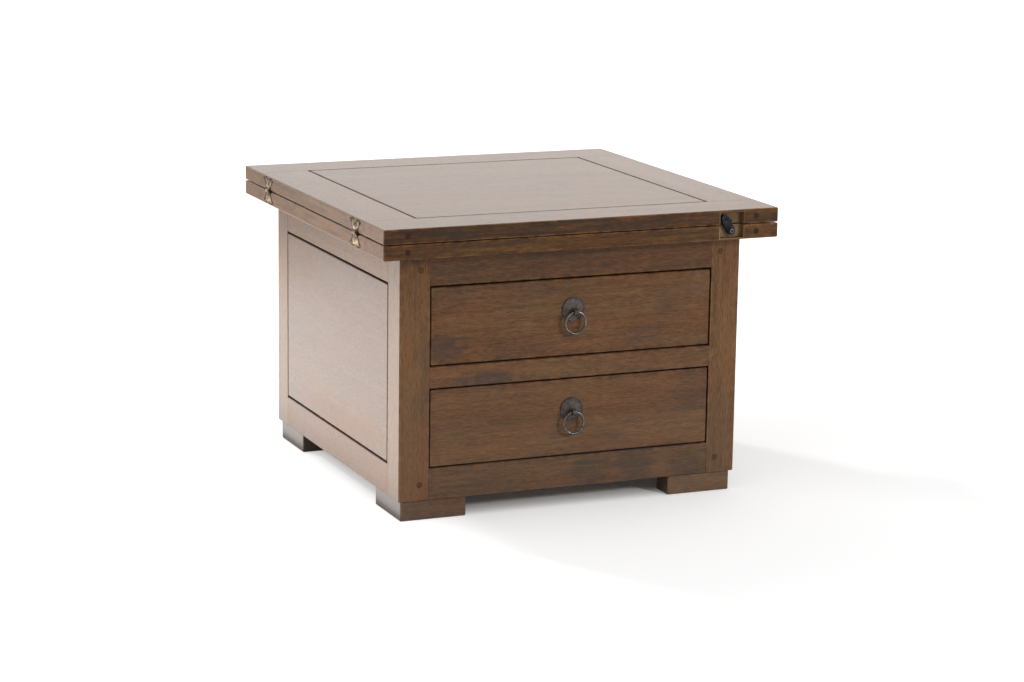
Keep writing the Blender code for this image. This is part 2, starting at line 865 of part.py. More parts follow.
def build_hinges(lower, upper):
    outer = BARREL_LENGTH / 2
    inner = KNUCKLE / 2
    tabs = {
        "upper": [(-inner, inner)],
        "lower": [(-outer, -inner - FIT), (inner + FIT, outer)],
    }
    stiles = {"upper": upper["left"], "lower": lower["left"]}
    frames = {"upper": upper_leaf, "lower": lower_leaf}
    for end, sy in ENDS:
        y = sy * HINGE_Y
        axis = (HINGE_X, y, HINGE_Z)
        bore = helper_rod(
            f"{end}_hinge_bore", HINGE_PIN_RADIUS + FIT, BARREL_LENGTH + 2 * PASS, axis, ALONG_Y, ROUND_STEPS
        )
        for leaf in ("upper", "lower"):
            name = f"{end}_hinge_{leaf}_wing"
            stems = [(low + FIT, high - FIT) for low, high in tabs[leaf]]
            mesh = outline_mesh(name, wing_outline(stems), WING_THICK)
            plate_x = -HALF_TOP_X + WING_THICK / 2
            wing = place(mesh, name, (plate_x, y, HINGE_Z), frames[leaf], BRASS, WING_TURN[leaf])
            for count, (low, high) in enumerate(tabs[leaf]):
                middle = (HINGE_X, y + (low + high) / 2, HINGE_Z)
                knuckle = helper_rod(f"{name}_knuckle_{count}", BARREL_RADIUS, high - low, middle, ALONG_Y)
                extend(wing, knuckle)
            carve(wing, bore)
            half = outer + HINGE_PIN_END + FIT
            seat = outline_mesh(
                name + "_mortise", grown(wing_outline([(-half, half)]), FIT), 2 * (WING_THICK + FIT)
            )
            carve(stiles[leaf], helper(seat, name + "_mortise", (-HALF_TOP_X, y, HINGE_Z), WING_TURN[leaf]))
            deep = BARREL_RADIUS + BARREL_CLEAR
            notch = helper_box(
                f"{name}_barrel_notch",
                (-HALF_TOP_X - PASS, HINGE_X + deep),
                (y - half, y + half),
                (HINGE_Z - deep, HINGE_Z + deep),
            )
            carve(stiles[leaf], notch)
        pin = rod_mesh(f"{end}_hinge_pin", HINGE_PIN_RADIUS, BARREL_LENGTH + 2 * HINGE_PIN_END, ROUND_STEPS)
        place(pin, f"{end}_hinge_pin", axis, lower_leaf, BRASS, ALONG_Y)


def lever_outline():
    """The latch lever upright about its pivot, as (X, Z): a bar with round ends."""
    points = arc((0.0, LEVER_LENGTH), LEVER_HALF, 0.0, math.pi, ROUND_STEPS // 2)
    return points + arc((0.0, 0.0), LEVER_HALF, math.pi, 2 * math.pi, ROUND_STEPS // 2)


def hook_outline():
    """The slot for the keeper stud, curved about the pivot and open to the right, in the lever's own plane."""
    half = STUD_RADIUS + HOOK_CLEAR
    mouth = math.acos((LEVER_HALF + PASS / 2) / (HOOK_RADIUS - half))
    upright = math.pi / 2
    low_arc = arc((0.0, 0.0), HOOK_RADIUS - half, mouth, upright, SLOT_STEPS // 2)
    seat = arc((0.0, HOOK_RADIUS), half, -math.pi / 2, -3 * math.pi / 2, ROUND_STEPS // 2)[1:]
    high_arc = arc((0.0, 0.0), HOOK_RADIUS + half, upright, mouth, SLOT_STEPS // 2)[1:]
    return low_arc + seat + high_arc


def build_latch(lower, upper):
    """A lever on the lower leaf that turns upright to hold the upper leaf's stud in a slot at its back."""
    lever_y = (LEVER_FRONT + LEVER_BACK) / 2
    mesh = outline_mesh("latch_lever", lever_outline(), LEVER_THICK)
    lean_turn = (math.pi / 2, -LATCH_LEAN, 0.0)
    lever = place(mesh, "latch_lever", (LATCH_X, lever_y, LATCH_Z), latch, IRON, lean_turn)
    hole = helper_rod(
        "latch_lever_hole",
        PIVOT_RADIUS + FIT,
        LEVER_THICK + 2 * PASS,
        (LATCH_X, lever_y, LATCH_Z),
        ALONG_Y,
    )
    carve(lever, hole)
    slot_front = LEVER_FRONT + LEVER_SKIN
    slot_back = LEVER_BACK + PASS
    slot_mesh = outline_mesh("latch_hook_slot", hook_outline(), slot_back - slot_front)
    slot_place = (LATCH_X, (slot_front + slot_back) / 2, LATCH_Z)
    carve(lever, helper(slot_mesh, "latch_hook_slot", slot_place, lean_turn))
    dimple_x = LATCH_X - LEVER_LENGTH * math.sin(LATCH_LEAN)
    dimple_z = LATCH_Z + LEVER_LENGTH * math.cos(LATCH_LEAN)
    dimple = helper_rod(
        "latch_lever_dimple", DIMPLE_RADIUS, 2 * DIMPLE_DEEP, (dimple_x, LEVER_FRONT, dimple_z), ALONG_Y
    )
    carve(lever, dimple)
    tip = LEVER_LENGTH + LEVER_HALF
    lean = LEVER_LENGTH * math.sin(LATCH_LEAN) + LEVER_HALF
    recess = helper_box(
        "latch_recess",
        (LATCH_X - lean - RECESS_LEFT, LATCH_X + RECESS_RIGHT),
        (-HALF_TOP_Y - PASS, RECESS_FLOOR),
        (LATCH_Z - LEVER_HALF - RECESS_BELOW, LATCH_Z + tip + RECESS_ABOVE),
    )
    carve(lower["front"], recess)
    carve(upper["front"], recess)
    head_back = LEVER_FRONT - FIT
    head_front = head_back - PIVOT_HEAD_THICK
    tail = RECESS_FLOOR + PIVOT_SET
    head = rod_mesh("latch_pivot_screw", PIVOT_HEAD_RADIUS, PIVOT_HEAD_THICK, ROUND_STEPS)
    neck = (head_front + head_back) / 2
    screw = place(head, "latch_pivot_screw", (LATCH_X, neck, LATCH_Z), lower_leaf, STEEL, ALONG_Y)
    shank = helper_rod(
        "latch_screw_shank", PIVOT_RADIUS, tail - neck, (LATCH_X, (neck + tail) / 2, LATCH_Z), ALONG_Y
    )
    extend(screw, shank)
    socket = helper_rod(
        "latch_screw_socket", SOCKET_RADIUS, 2 * SOCKET_DEEP, (LATCH_X, head_front, LATCH_Z), ALONG_Y, 6
    )
    carve(screw, socket)
    screw_hole = helper_rod(
        "latch_screw_hole",
        PIVOT_RADIUS + FIT,
        2 * (PIVOT_SET + FIT),
        (LATCH_X, RECESS_FLOOR, LATCH_Z),
        ALONG_Y,
    )
    carve(lower["front"], screw_hole)
    stud_front = slot_front + FIT
    stud_end = RECESS_FLOOR + STUD_SET
    stud = rod_mesh("latch_keeper_stud", STUD_RADIUS, stud_end - stud_front, ROUND_STEPS)
    place(
        stud,
        "latch_keeper_stud",
        (LATCH_X, (stud_front + stud_end) / 2, STUD_Z),
        upper_leaf,
        STEEL,
        ALONG_Y,
    )
    stud_hole = helper_rod(
        "latch_stud_hole",
        STUD_RADIUS + FIT,
        2 * (STUD_SET + FIT),
        (LATCH_X, RECESS_FLOOR, STUD_Z),
        ALONG_Y,
    )
    carve(upper["front"], stud_hole)


def build_swivel(lower):
    """Flange and stud under the lower leaf, nut below the top board, stop pin in the curved slot."""
    flange_high = LOWER_LEAF_LOW - FIT
    flange_low = TOP_BOARD_HIGH + FIT
    flange = rod_mesh("swivel_flange", FLANGE_RADIUS, flange_high - flange_low, 2 * ROUND_STEPS)
    piece = place(
        flange, "swivel_flange", (SWIVEL_X, SWIVEL_Y, (flange_low + flange_high) / 2), lower_leaf, STEEL
    )
    nut_high = TOP_BOARD_LOW - FIT
    nut_low = nut_high - NUT_HEIGHT
    stud_low = nut_low - SWIVEL_STUD_END
    stud_high = (flange_low + flange_high) / 2
    stud = helper_rod(
        "swivel_stud",
        SWIVEL_STUD_RADIUS,
        stud_high - stud_low,
        (SWIVEL_X, SWIVEL_Y, (stud_low + stud_high) / 2),
        ALONG_Z,
    )
    extend(piece, stud)
    middle = (SWIVEL_X, SWIVEL_Y, (nut_low + nut_high) / 2)
    nut = place(rod_mesh("swivel_nut", NUT_RADIUS, NUT_HEIGHT, 6), "swivel_nut", middle, lower_leaf, STEEL)
    carve(nut, helper_rod("nut_hole", SWIVEL_STUD_RADIUS + FIT, NUT_HEIGHT + 2 * PASS, middle, ALONG_Z))
    pin_x = SWIVEL_X
    pin_y = SWIVEL_Y - STOP_RADIUS
    pin_low = TOP_BOARD_LOW + STOP_PIN_SHORT
    pin_high = LOWER_LEAF_LOW + STOP_PIN_SET
    pin = rod_mesh("swivel_stop_pin", STOP_PIN_RADIUS, pin_high - pin_low, ROUND_STEPS)
    place(pin, "swivel_stop_pin", (pin_x, pin_y, (pin_low + pin_high) / 2), lower_leaf, STEEL)
    seat = helper_rod(
        "stop_pin_seat",
        STOP_PIN_RADIUS + FIT,
        2 * (STOP_PIN_SET + FIT),
        (pin_x, pin_y, LOWER_LEAF_LOW),
        ALONG_Z,
    )
    carve(lower["panel"], seat)


def build_drawer(level, low):
    """A drawer whose sides ride at the opening's lower edge, and its ring pull."""
    high = low + DRAWER_OPENING
    face = -HALF_Y
    half = POST_IN_X - DRAWER_GAP
    inner = half - DRAWER_SIDE_THICK
    side_low = low + FIT
    side_high = high - DRAWER_HEADROOM
    back_end = HALF_Y - PANEL_THICK - DRAWER_BACK_ROOM
    front_back = face + DRAWER_FRONT_THICK
    rabbet = front_back - DRAWER_RABBET
    drawer = add_empty(f"{level}_drawer", (0.0, face, low), root)
    front = board(
        f"{level}_drawer_front",
        (-half, half),
        (face, front_back),
        (low + DRAWER_GAP, high - DRAWER_GAP),
        drawer,
        DARK_WOOD,
    )
    floor_low = side_low + DRAWER_BOTTOM_RISE
    floor_high = floor_low + DRAWER_BOTTOM_THICK
    groove_z = (floor_low - FIT, floor_high + FIT)
    front_groove = helper_box(
        f"{level}_drawer_front_groove",
        (-inner - PASS, inner + PASS),
        (front_back - DRAWER_GROOVE - FIT, front_back + PASS),
        groove_z,
    )
    carve(front, front_groove)
    for side, sx in SIDES:
        name = f"{level}_drawer_{side}_side"
        cut = helper_box(
            name + "_rabbet",
            (sx * (inner - FIT), sx * (half + PASS)),
            (rabbet, front_back + PASS),
            (low - PASS, side_high + FIT),
        )
        carve(front, cut)
        piece = board(
            name,
            (sx * inner, sx * half),
            (rabbet + FIT, back_end),
            (side_low, side_high),
            drawer,
            INNER_WOOD,
            0,
        )
        groove = helper_box(
            name + "_groove",
            (sx * (inner - PASS), sx * (inner + DRAWER_GROOVE + FIT)),
            (rabbet - PASS, back_end + PASS),
            groove_z,
        )
        carve(piece, groove)
    board(
        f"{level}_drawer_back",
        (-inner + FIT, inner - FIT),
        (back_end - DRAWER_BACK_THICK, back_end),
        (floor_high + FIT, side_high),
        drawer,
        INNER_WOOD,
        0,
    )
    floor_x = inner + DRAWER_GROOVE
    board(
        f"{level}_drawer_bottom",
        (-floor_x, floor_x),
        (front_back - DRAWER_GROOVE, back_end),
        (floor_low, floor_high),
        drawer,
        INNER_WOOD,
        0,
    )
    build_pull(level, drawer, front, (low + high) / 2 + PULL_RAISE)


def rose_profile():
    """Half section of the rose as (radius, height above the drawer face), from the axis outwards and back."""
    points = [(0.0, ROSE_DOME)]
    crown = ROSE_RADIUS - 2 * ROSE_LIP
    steps = ROSE_STEPS // 8
    for step in range(1, steps + 1):
        share = step / steps
        points.append((crown * share, ROSE_DOME - (ROSE_DOME - ROSE_RIM + ROSE_LIP / 2) * share**2))
    points.append((ROSE_RADIUS - ROSE_LIP, ROSE_RIM))
    points.append((ROSE_RADIUS, ROSE_RIM - ROSE_LIP))
    points.append((ROSE_RADIUS, 0.0))
    points.append((0.0, 0.0))
    return points


def rose_mesh(name):
    """The turned rose, its axis along local Z and its back at Z = 0."""
    mesh = bpy.data.meshes.new(name)
    work = bmesh.new()
    last = None
    for radius, height in rose_profile():
        vert = work.verts.new((radius, 0.0, height))
        if last is not None:
            work.edges.new((last, vert))
        last = vert
    work.to_mesh(mesh)
    work.free()
    return mesh


def build_pull(level, drawer, front, z):
    face = -HALF_Y - FIT
    name = f"{level}_pull_rose"
    rose = place(rose_mesh(name), name, (0.0, face, z), drawer, IRON, (math.pi / 2, 0.0, 0.0))
    turn = rose.modifiers.new("turned", "SCREW")
    turn.axis = "Z"
    turn.angle = 2 * math.pi
    turn.steps = ROSE_STEPS
    turn.render_steps = ROSE_STEPS
    turn.use_merge_vertices = True
    turn.merge_threshold = MERGE
    turn.use_smooth_shade = True
    eye_z = z - EYE_DROP
    eye_y = face - ROSE_DOME - RING_STANDOFF
    hole = RING_WIRE + EYE_CLEAR
    boss = helper_box(
        name + "_eye",
        (-EYE_WIDTH / 2, EYE_WIDTH / 2),
        (eye_y - hole - EYE_WALL, face - ROSE_RIM / 2),
        (eye_z - EYE_HEIGHT / 2, eye_z + EYE_HEIGHT / 2),
    )
    soften(boss, EDGE_ROUND)
    extend(rose, boss)
    shank = helper_rod(
        name + "_shank",
        SHANK_RADIUS,
        SHANK_LENGTH + ROSE_RIM,
        (0.0, face + (SHANK_LENGTH - ROSE_RIM) / 2, z),
        ALONG_Y,
    )
    extend(rose, shank)
    bore = helper_rod(name + "_bore", hole, EYE_WIDTH + 2 * PASS, (0.0, eye_y, eye_z), ALONG_X)
    carve(rose, bore)
    shank_hole = helper_rod(
        name + "_shank_hole",
        SHANK_RADIUS + FIT,
        2 * (SHANK_LENGTH + FIT),
        (0.0, -HALF_Y, z),
        ALONG_Y,
    )
    carve(front, shank_hole)
    swing = add_empty(f"{level}_ring_swing", (0.0, eye_y, eye_z), drawer)
    bpy.ops.mesh.primitive_torus_add(
        major_segments=RING_STEPS,
        minor_segments=RING_SIDES,
        major_radius=RING_RADIUS,
        minor_radius=RING_WIRE,
    )
    torus = bpy.context.object
    mesh = torus.data
    mesh.name = f"{level}_pull_ring"
    bpy.data.objects.remove(torus, do_unlink=True)
    smooth(mesh)
    place(mesh, f"{level}_pull_ring", (0.0, eye_y, eye_z - RING_RADIUS), swing, IRON, (math.pi / 2, 0.0, 0.0))


build_posts()
build_front_rails()
build_side_rails()
build_back_rails()
build_panels()
build_level_boards()
build_runners()
build_feet()
lower_pieces = build_leaf("lower", LOWER_LEAF_LOW, lower_leaf)
upper_pieces = build_leaf("upper", UPPER_LEAF_LOW, upper_leaf)
build_hinges(lower_pieces, upper_pieces)
build_latch(lower_pieces, upper_pieces)
build_swivel(lower_pieces)
build_drawer("upper", UPPER_OPENING_LOW)
build_drawer("lower", LOWER_OPENING_LOW)
bpy.context.view_layer.update()
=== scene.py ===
"""Looks of the extendable coffee table: stained wood, brass hinges, iron pulls and latch, on a white floor.

Everything is in metres in the frame of the solids: X to the right, Y to the back, Z up from the floor.
Colours are red, green and blue. A pair named FADE or LIMITS holds the limits of a soft step, and one named
BUMP a strength and a depth.
"""

import json
import math

import bmesh
import bpy
from mathutils import Matrix, Vector


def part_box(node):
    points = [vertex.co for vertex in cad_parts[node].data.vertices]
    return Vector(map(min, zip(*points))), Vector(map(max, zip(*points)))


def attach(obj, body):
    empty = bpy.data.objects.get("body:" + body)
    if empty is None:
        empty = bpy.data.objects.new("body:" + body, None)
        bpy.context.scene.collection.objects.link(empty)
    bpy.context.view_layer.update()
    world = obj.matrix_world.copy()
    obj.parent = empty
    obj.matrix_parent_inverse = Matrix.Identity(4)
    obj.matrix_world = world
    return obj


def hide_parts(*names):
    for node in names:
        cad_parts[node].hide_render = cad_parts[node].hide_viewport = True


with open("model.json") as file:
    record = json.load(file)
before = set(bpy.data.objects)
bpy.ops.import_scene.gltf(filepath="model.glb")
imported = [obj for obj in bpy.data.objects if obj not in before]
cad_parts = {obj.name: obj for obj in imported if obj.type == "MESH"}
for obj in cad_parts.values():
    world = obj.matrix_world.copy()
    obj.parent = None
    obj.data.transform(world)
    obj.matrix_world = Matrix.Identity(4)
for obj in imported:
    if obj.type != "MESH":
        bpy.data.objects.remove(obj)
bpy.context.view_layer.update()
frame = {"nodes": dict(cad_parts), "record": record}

X, Y, Z = 0, 1, 2
SIDES = ("left", "right")
ENDS = ("front", "back")
LEVELS = ("lower", "upper")
OUTWARD = {"left": -1, "right": 1, "front": -1, "back": 1}
ORIGIN = (0.0, 0.0, 0.0)
WHITE = (1.0, 1.0, 1.0)
TINY = 0.0000001

# Camera, fitted to the photograph's 1024 x 682 pixels; the sensor is in millimetres
VIEW_AZIMUTH = math.radians(-23.3512)
VIEW_ELEVATION = math.radians(12.2207)
VIEW_ROLL = math.radians(0.8556)
FOCAL_PIXELS = 2858.16
IMAGE_WIDTH = 1024
SENSOR_WIDTH = 36.0
CAMERA_PLACE = (-1.6368, -3.8395, 1.0918)

# Sky: its strength at the horizon and straight above
SKY_LOW = 0.28
SKY_HIGH = 0.86

# Suns: where they shine from, strength and angle; the low one casts the clear shadow
LOW_SUN_FROM = (-0.756, 1.512, 1.0)
SUNS = {
    "soft_sun": ((-0.70, 0.45, 0.60), 0.30, math.radians(60.0)),
    "low_sun": (LOW_SUN_FROM, 0.70, math.radians(5.0)),
}

# Lamps: what they serve, place, point they shine at, width and height, watts, colour
TABLE_MIDDLE = (0.0, 0.0, 0.2)
TOP_MIDDLE = (0.0, 0.0, 0.42)
WARM_LIGHT = (1.0, 0.912, 0.848)
PALE_LIGHT = (1.0, 0.985, 0.975)
CREAM_LIGHT = (1.0, 0.965, 0.915)
LAMPS = {
    "front_softbox": ("matt", (1.45, -3.0, 1.4), TABLE_MIDDLE, (0.35, 0.35), 43.0, WHITE),
    "front_sheen": ("sheen", (2.4, -3.0, 1.4), TABLE_MIDDLE, (0.6, 0.6), 66.0, WHITE),
    "left_sheen": ("sheen", (-0.800, 0.65, 0.003), (-0.800, 0.65, 1.0), (0.96, 2.0), 26.5, WARM_LIGHT),
    "near_sheen": ("sheen", (-0.292, 0.65, 0.003), (-0.292, 0.65, 1.0), (0.055, 2.0), 0.80, PALE_LIGHT),
    "back_sheen": ("sheen", (0.55, 2.7, 1.06), TOP_MIDDLE, (3.2, 1.5), 22.8, CREAM_LIGHT),
}

# Floor: its painted glow in the open and in the low sun's shadow, where less glow paints the shadow deeper,
# what is added near the feet, and where each ends
FLOOR_SIZE = 60.0
FLOOR_COLOUR = (0.94, 0.94, 0.94)
OPEN_GLOW = 0.55
SHADE_GLOW = 0.15
NEAR_GLOW = 0.10
NEAR_FADE = (0.05, 0.45)
SHADE_SIDE_FADE = (-0.10, 0.0)
SHADE_BACK_FADE = (0.10, 0.60)
SHADE_FAR_FADE = (0.60, 1.20)

# Painted contact shadow under the carcass, where the glow is taken away, about the outline of the feet, and
# the strip at its left that stays lit
CONTACT_FADE = (-0.055, 0.01)
CONTACT_LEFT_OVER = 0.06
LIT_INSIDE = 0.13

# Broken edges of the boards
EDGE = 0.0012

# Stain colours by tone, from the pores at 0 to the rubbed edges at 1, and the paler wood inside
STAIN = (
    (0.00, (0.030, 0.013, 0.006)),
    (0.30, (0.074, 0.033, 0.012)),
    (0.52, (0.122, 0.056, 0.021)),
    (0.75, (0.170, 0.083, 0.033)),
    (1.00, (0.225, 0.116, 0.050)),
)
INNER = (
    (0.00, (0.120, 0.066, 0.032)),
    (0.30, (0.230, 0.140, 0.075)),
    (0.52, (0.310, 0.200, 0.112)),
    (0.75, (0.370, 0.245, 0.142)),
    (1.00, (0.440, 0.305, 0.185)),
)

# Grey brown towards the floor, dust and a painted reflection of the floor, two slight casts of the stain,
# and the dark of tongues, painted shade in the gaps
DUST_AND_REFLECTION = (0.135, 0.110, 0.088)
DUST_AND_REFLECTION_HEIGHT = 0.30
OLIVE_CAST = (0.910, 0.940, 0.935)
RED_CAST = (1.0, 0.885, 0.820)
HIDDEN_DARK = (0.012, 0.008, 0.006)
HIDDEN_FADE = (0.0002, 0.0008)

# The stain is warmer on the leaves' narrow edges, by axis, and greyer in clouds and in dark tone ovals,
# some of which are painted shade
WARM_CAST = {X: (0.930, 0.870, 0.640), Y: (0.900, 0.820, 0.420)}
GREY_CAST = (0.060, 0.051, 0.047)
CLOUD_GREY = 0.22
GREY_CAST_SHARE = 1.2

# Grain as noise drawn out along a board: cells per metre along and across, and detail
WAVE = (3.0, 9.0, 3.0)
FIGURE = (2.6, 26.0, 3.0)
STREAK = (13.0, 170.0, 4.0)
FIBRE = (80.0, 600.0, 2.0)
HAIR = (170.0, 1100.0, 2.0)
PORES = (110.0, 1500.0, 2.0)
CLOUDS = (8.0, 16.0, 4.0)
CASTS = (5.0, 21.0, 2.0)
RAGGED = (26.0, 70.0, 4.0)
WAVE_REACH = 0.012
PORE_LIMITS = (0.58, 0.72)
CLOUD_LIMITS = (0.55, 0.76)
CAST_LIMITS = (0.36, 0.64)

# A board's place in the noise, from its number by sines, and how its staves start and differ
SEED_TURNS = (12.9, 78.2, 37.7)
SEED_REACH = 5.0
STAVE_SEED = 7.3
START_TURN = 5.1
START_REACH = 0.31
STAVE_SHIFT_ALONG = 3.0
STAVE_SHIFT_DEEP = 0.7

# Tone of plain stain, and what grain, wear, dirt and painted shade in gaps add to it
PLAIN_TONE = 0.53
FIGURE_TONE = 0.32
STREAK_TONE = 0.42
FIBRE_TONE = 0.72
HAIR_TONE = 0.50
STAVE_TONE = 0.10
CLOUD_TONE = -0.11
PORE_TONE = -0.16
RUBBED_TONE = 0.22
GRIME_TONE = -0.10
GAP_TONE = -0.60

# Roughness and gloss of the finish, what adds to the roughness, and the relief with its strength and depth
WOOD_ROUGH = 0.36
WOOD_GLOSS = 0.16
STREAK_ROUGH = 0.07
OVAL_ROUGH = 0.15
PORE_ROUGH = 0.10
RUBBED_ROUGH = 0.08
GAP_ROUGH = 0.50
PORE_RELIEF = -0.7
FIBRE_RELIEF = 0.5
WOOD_BUMP = (0.14, 0.0004)

# Wear: patches per metre, how far from an edge rubbing and grime reach, and in which patches they and the
# painted highlight on a front corner lie
PATCHES = 70.0
RUBBED_FADE = (0.0004, 0.0030)
RUBBED_PATCHES = (0.42, 0.62)
GRIME_FADE = (0.002, 0.014)
GRIME_PATCHES = (0.60, 0.40)
HIGHLIGHT_LIP_PATCHES = (0.36, 0.56)

# How squarely a surface faces a way to count as that face, as a face in a gap, or as a broken corner
FACE = (0.74, 0.92)
GAP_FACE = (0.62, 0.82)
CORNER_FACE = (0.55, 0.68)

# Tone ovals: how far noise warps their outline, where they fade in half sizes, and their share by streak
OVAL_WARP = 3.2
OVAL_FADE = (0.55, 1.75)
OVAL_STREAKS = (0.32, 0.62)
OVAL_SHARES = (1.25, 0.65)

# Tone ovals of each board, smudges, pale patches and some painted shade: place along the board and from the
# floor, half sizes, change of tone; a post runs up from the floor, so its places and half sizes come twice
TONE_OVALS = {
    "upper_drawer_front": (
        (-0.130, 0.312, 0.120, 0.022, -0.05),
        (-0.192, 0.245, 0.020, 0.014, -0.26),
        (-0.085, 0.236, 0.040, 0.012, -0.08),
        (0.204, 0.310, 0.016, 0.018, 0.10),
        # Painted shadow of the pull's ring, partly grime where the ring rubs
        (-0.004, 0.262, 0.015, 0.015, -0.12),
    ),
    "lower_drawer_front": (
        (0.195, 0.158, 0.030, 0.024, -0.12),
        (-0.160, 0.160, 0.080, 0.026, -0.05),
        # Painted shadow of the pull's ring, partly grime where the ring rubs
        (-0.004, 0.117, 0.015, 0.015, -0.12),
    ),
    "front_middle_rail": ((-0.166, 0.194, 0.016, 0.008, -0.30), (-0.117, 0.195, 0.026, 0.009, -0.28)),
    "front_bottom_rail": (
        (0.026, 0.052, 0.026, 0.016, -0.22),
        (0.106, 0.055, 0.020, 0.018, -0.24),
        (0.142, 0.050, 0.014, 0.015, 0.08),
        (0.184, 0.044, 0.022, 0.012, -0.16),
        (-0.150, 0.048, 0.060, 0.016, -0.08),
    ),
    "front_top_rail": ((0.010, 0.350, 0.060, 0.018, -0.06), (-0.120, 0.345, 0.080, 0.012, -0.05)),
    "upper_leaf_front_rail": ((-0.120, 0.410, 0.100, 0.024, -0.05), (0.274, 0.411, 0.020, 0.030, 0.11)),
    "lower_leaf_front_rail": ((0.274, 0.390, 0.020, 0.030, 0.14),),
    # The posts' darker tops: painted shade under the leaves' overhang, and stain
    "front_left_post": ((0.390, 0.390, 0.045, 0.045, -0.20), (0.390, 0.390, 0.100, 0.100, -0.09)),
    "front_right_post": ((0.390, 0.390, 0.080, 0.080, -0.06), (0.210, 0.210, 0.050, 0.050, 0.07)),
    "left_panel": ((0.150, 0.305, 0.080, 0.030, 0.24), (-0.050, 0.090, 0.150, 0.024, 0.32)),
}

# The latch's recess in the front, as corners along X and Z: bare wood and painted light that lifts its
# shade in it, and a painted highlight in a line round it
RECESS_LOW = Vector((0.20905, 0.3820))
RECESS_HIGH = Vector((0.2465, 0.4189))
HIGHLIGHT_LINE = 0.0016
BARE_LIT_WOOD = (0.300, 0.188, 0.100)

# How bare and lit it is near the face and deeper in, at its left end, on its right wall, and by streak
BARE_LIT_DEPTHS = (0.003, 0.006)
BARE_LIT_SHARES = (0.40, 0.62)
BARE_LIT_LEFT_END = 0.002
BARE_LIT_WALL_SHARE = 0.4
BARE_LIT_STREAKS = (0.25, 0.60)
BARE_LIT_LEAST = 0.7

# Width of the glued staves
POST_STAVE = 0.060
RAIL_STAVE = 0.075
PANEL_STAVE = 0.072
FRONT_STAVE = 0.056

# Posts and feet: tones, with the feet's inner faces darker, partly as painted shade, gloss, and the share
# of dust and painted floor reflection at the floor
POST_TONE = 0.12
SIDE_TONE = 0.18
SIDE_GLOSS = 0.147
FOOT_TONE = {"left": -0.14, "right": 0.14}
FOOT_INNER_TONE = -0.35
FOOT_SIDE_TONE = -0.25
FOOT_GLOSS = 0.27
CORNER_DUST_AND_REFLECTION = 0.20

# Front rails: tone, share of dust and painted floor reflection, and the sides along Z that face a drawer's
# gap; the top rail's darker tone is partly painted shade under the leaves' overhang
FRONT_RAILS = {"top": (-0.18, 0.0, (-1,)), "middle": (0.03, 0.36, (-1, 1)), "bottom": (-0.01, 0.22, (1,))}

# Rails of the other sides: the side along Z towards the panel, then tone and gloss at the left and right
SIDE_RAILS = {"top": (-1, 0.32, 0.125), "bottom": (1, 0.22, 0.134)}
PANEL_TONE = -0.06
PANEL_GLOSS = 0.172

# Leaves: tone of the front and back edges, share of bare wood and painted light in the recess, painted
# highlight on a front corner as (side along Z, tone), side roughness
LEAVES = {"lower": (-0.15, 0.80, (1, 0.15), 0.09), "upper": (-0.36, 0.36, (-1, 0.70), 0.05)}
LEAF_SIDE_TONE = 0.27
RAIL_CONTRAST = 0.60
RAIL_END_CONTRAST = 1.00
STILE_CONTRAST = 1.60

# Drawer fronts, with painted shade on their narrow edges in the gaps, and the boards inside with the number
# of their first
DRAWER_TONE = {"lower": 0.02, "upper": -0.02}
DRAWER_EDGE_TONE = -0.38
DRAWER_DUST_AND_REFLECTION = 0.22
INNER_ROUGH = 0.55
INNER_SEED = 101

# Wooden plugs: inwards of the post's middle, and from the leaf's corner
PLUG_SHIFT = 0.0088
LEAF_PLUG_INSET = 0.035
PLUG_RADIUS = 0.0042
PLUG_PROUD = 0.00012
PLUG_DEEP = 0.0006
PLUG_STEPS = 32
PLUG_ROUND = 0.8 * PLUG_PROUD
PLUG_RIM = (0.80 * PLUG_RADIUS, 0.96 * PLUG_RADIUS)

# End grain of the plugs: specks per metre and their tone, tones of plug and rim, finish
PLUG_SPECKS = 900.0
PLUG_SPECK_TONE = 0.6
PALE_PLUG_TONE = 0.36
DARK_PLUG_TONE = 0.0
PLUG_RIM_TONE = -0.42
PLUG_ROUGH = 0.55
PLUG_SPECK_ROUGH = 0.2
PLUG_GLOSS = 0.08
PLUG_BUMP = (0.3, 0.0003)

# Patina of the metals: specks to a patch, their share in it and in the relief, limits, roughness, depth
PATINA_SPECKS = 6.0
PATINA_SPECK_SHARE = 0.35
PATINA_LIMITS = (0.48, 0.84)
PATINA_ROUGH = 0.22
PATINA_SPECK_RELIEF = 0.4
PATINA_DEPTH = 0.0006

# Meshes: points nearer than this are one, faces flatter than this are one, and an edge is sharp from here
MERGE_DISTANCE = 0.00001
FLAT_ANGLE = math.radians(1.0)
SHARP_ANGLE = math.radians(40.0)

# A pull's rose: a domed plate, with a groove inside its rounded rim, which is part of an ellipse
DOME_RADIUS = 0.015
DOME_HIGH = 0.0036
DOME_LOW = 0.00162
DOME_STEPS = 6
RIM_MIDDLE = (0.0162, 0.0004)
RIM_HALF = (0.0013, 0.00176)
RIM_ARC = math.radians(135.0)
RIM_STEPS = 10
ROSE_FOOT = 0.0174
ROSE_STEPS = 72
ROSE_CLEAR = 0.0003

# Its eye for the ring
EYE_HALF_WIDTH = 0.0034
EYE_NOSE = 0.0044
EYE_BORE = 0.0027
EYE_STEPS = 40
EYE_ROUND = 0.0006
EYE_ROUND_STEPS = 3
EYE_CLEAR = 0.0008

# The ring's wire, a little uneven along its way
RING_WIRE = 0.0019
RING_UNEVEN = 0.03
RING_WAVES = 3
RING_WAVE_START = 0.6
RING_STEPS = 72
WIRE_STEPS = 18
RING_SHARP_ANGLE = math.radians(80.0)

# A hinge wing's outline, for the painted shade and patina along it, and its screws' places: along the
# table's edge, then away
WING_WAIST = 0.0115
WING_FLARE = 0.02225
WING_REACH = 0.0200
WING_CURVE = 1.7
WING_ROUND = 0.0003
WING_SCREWS = ((-0.0135, 0.0148), (0.0135, 0.0148), (0.0, 0.0088))
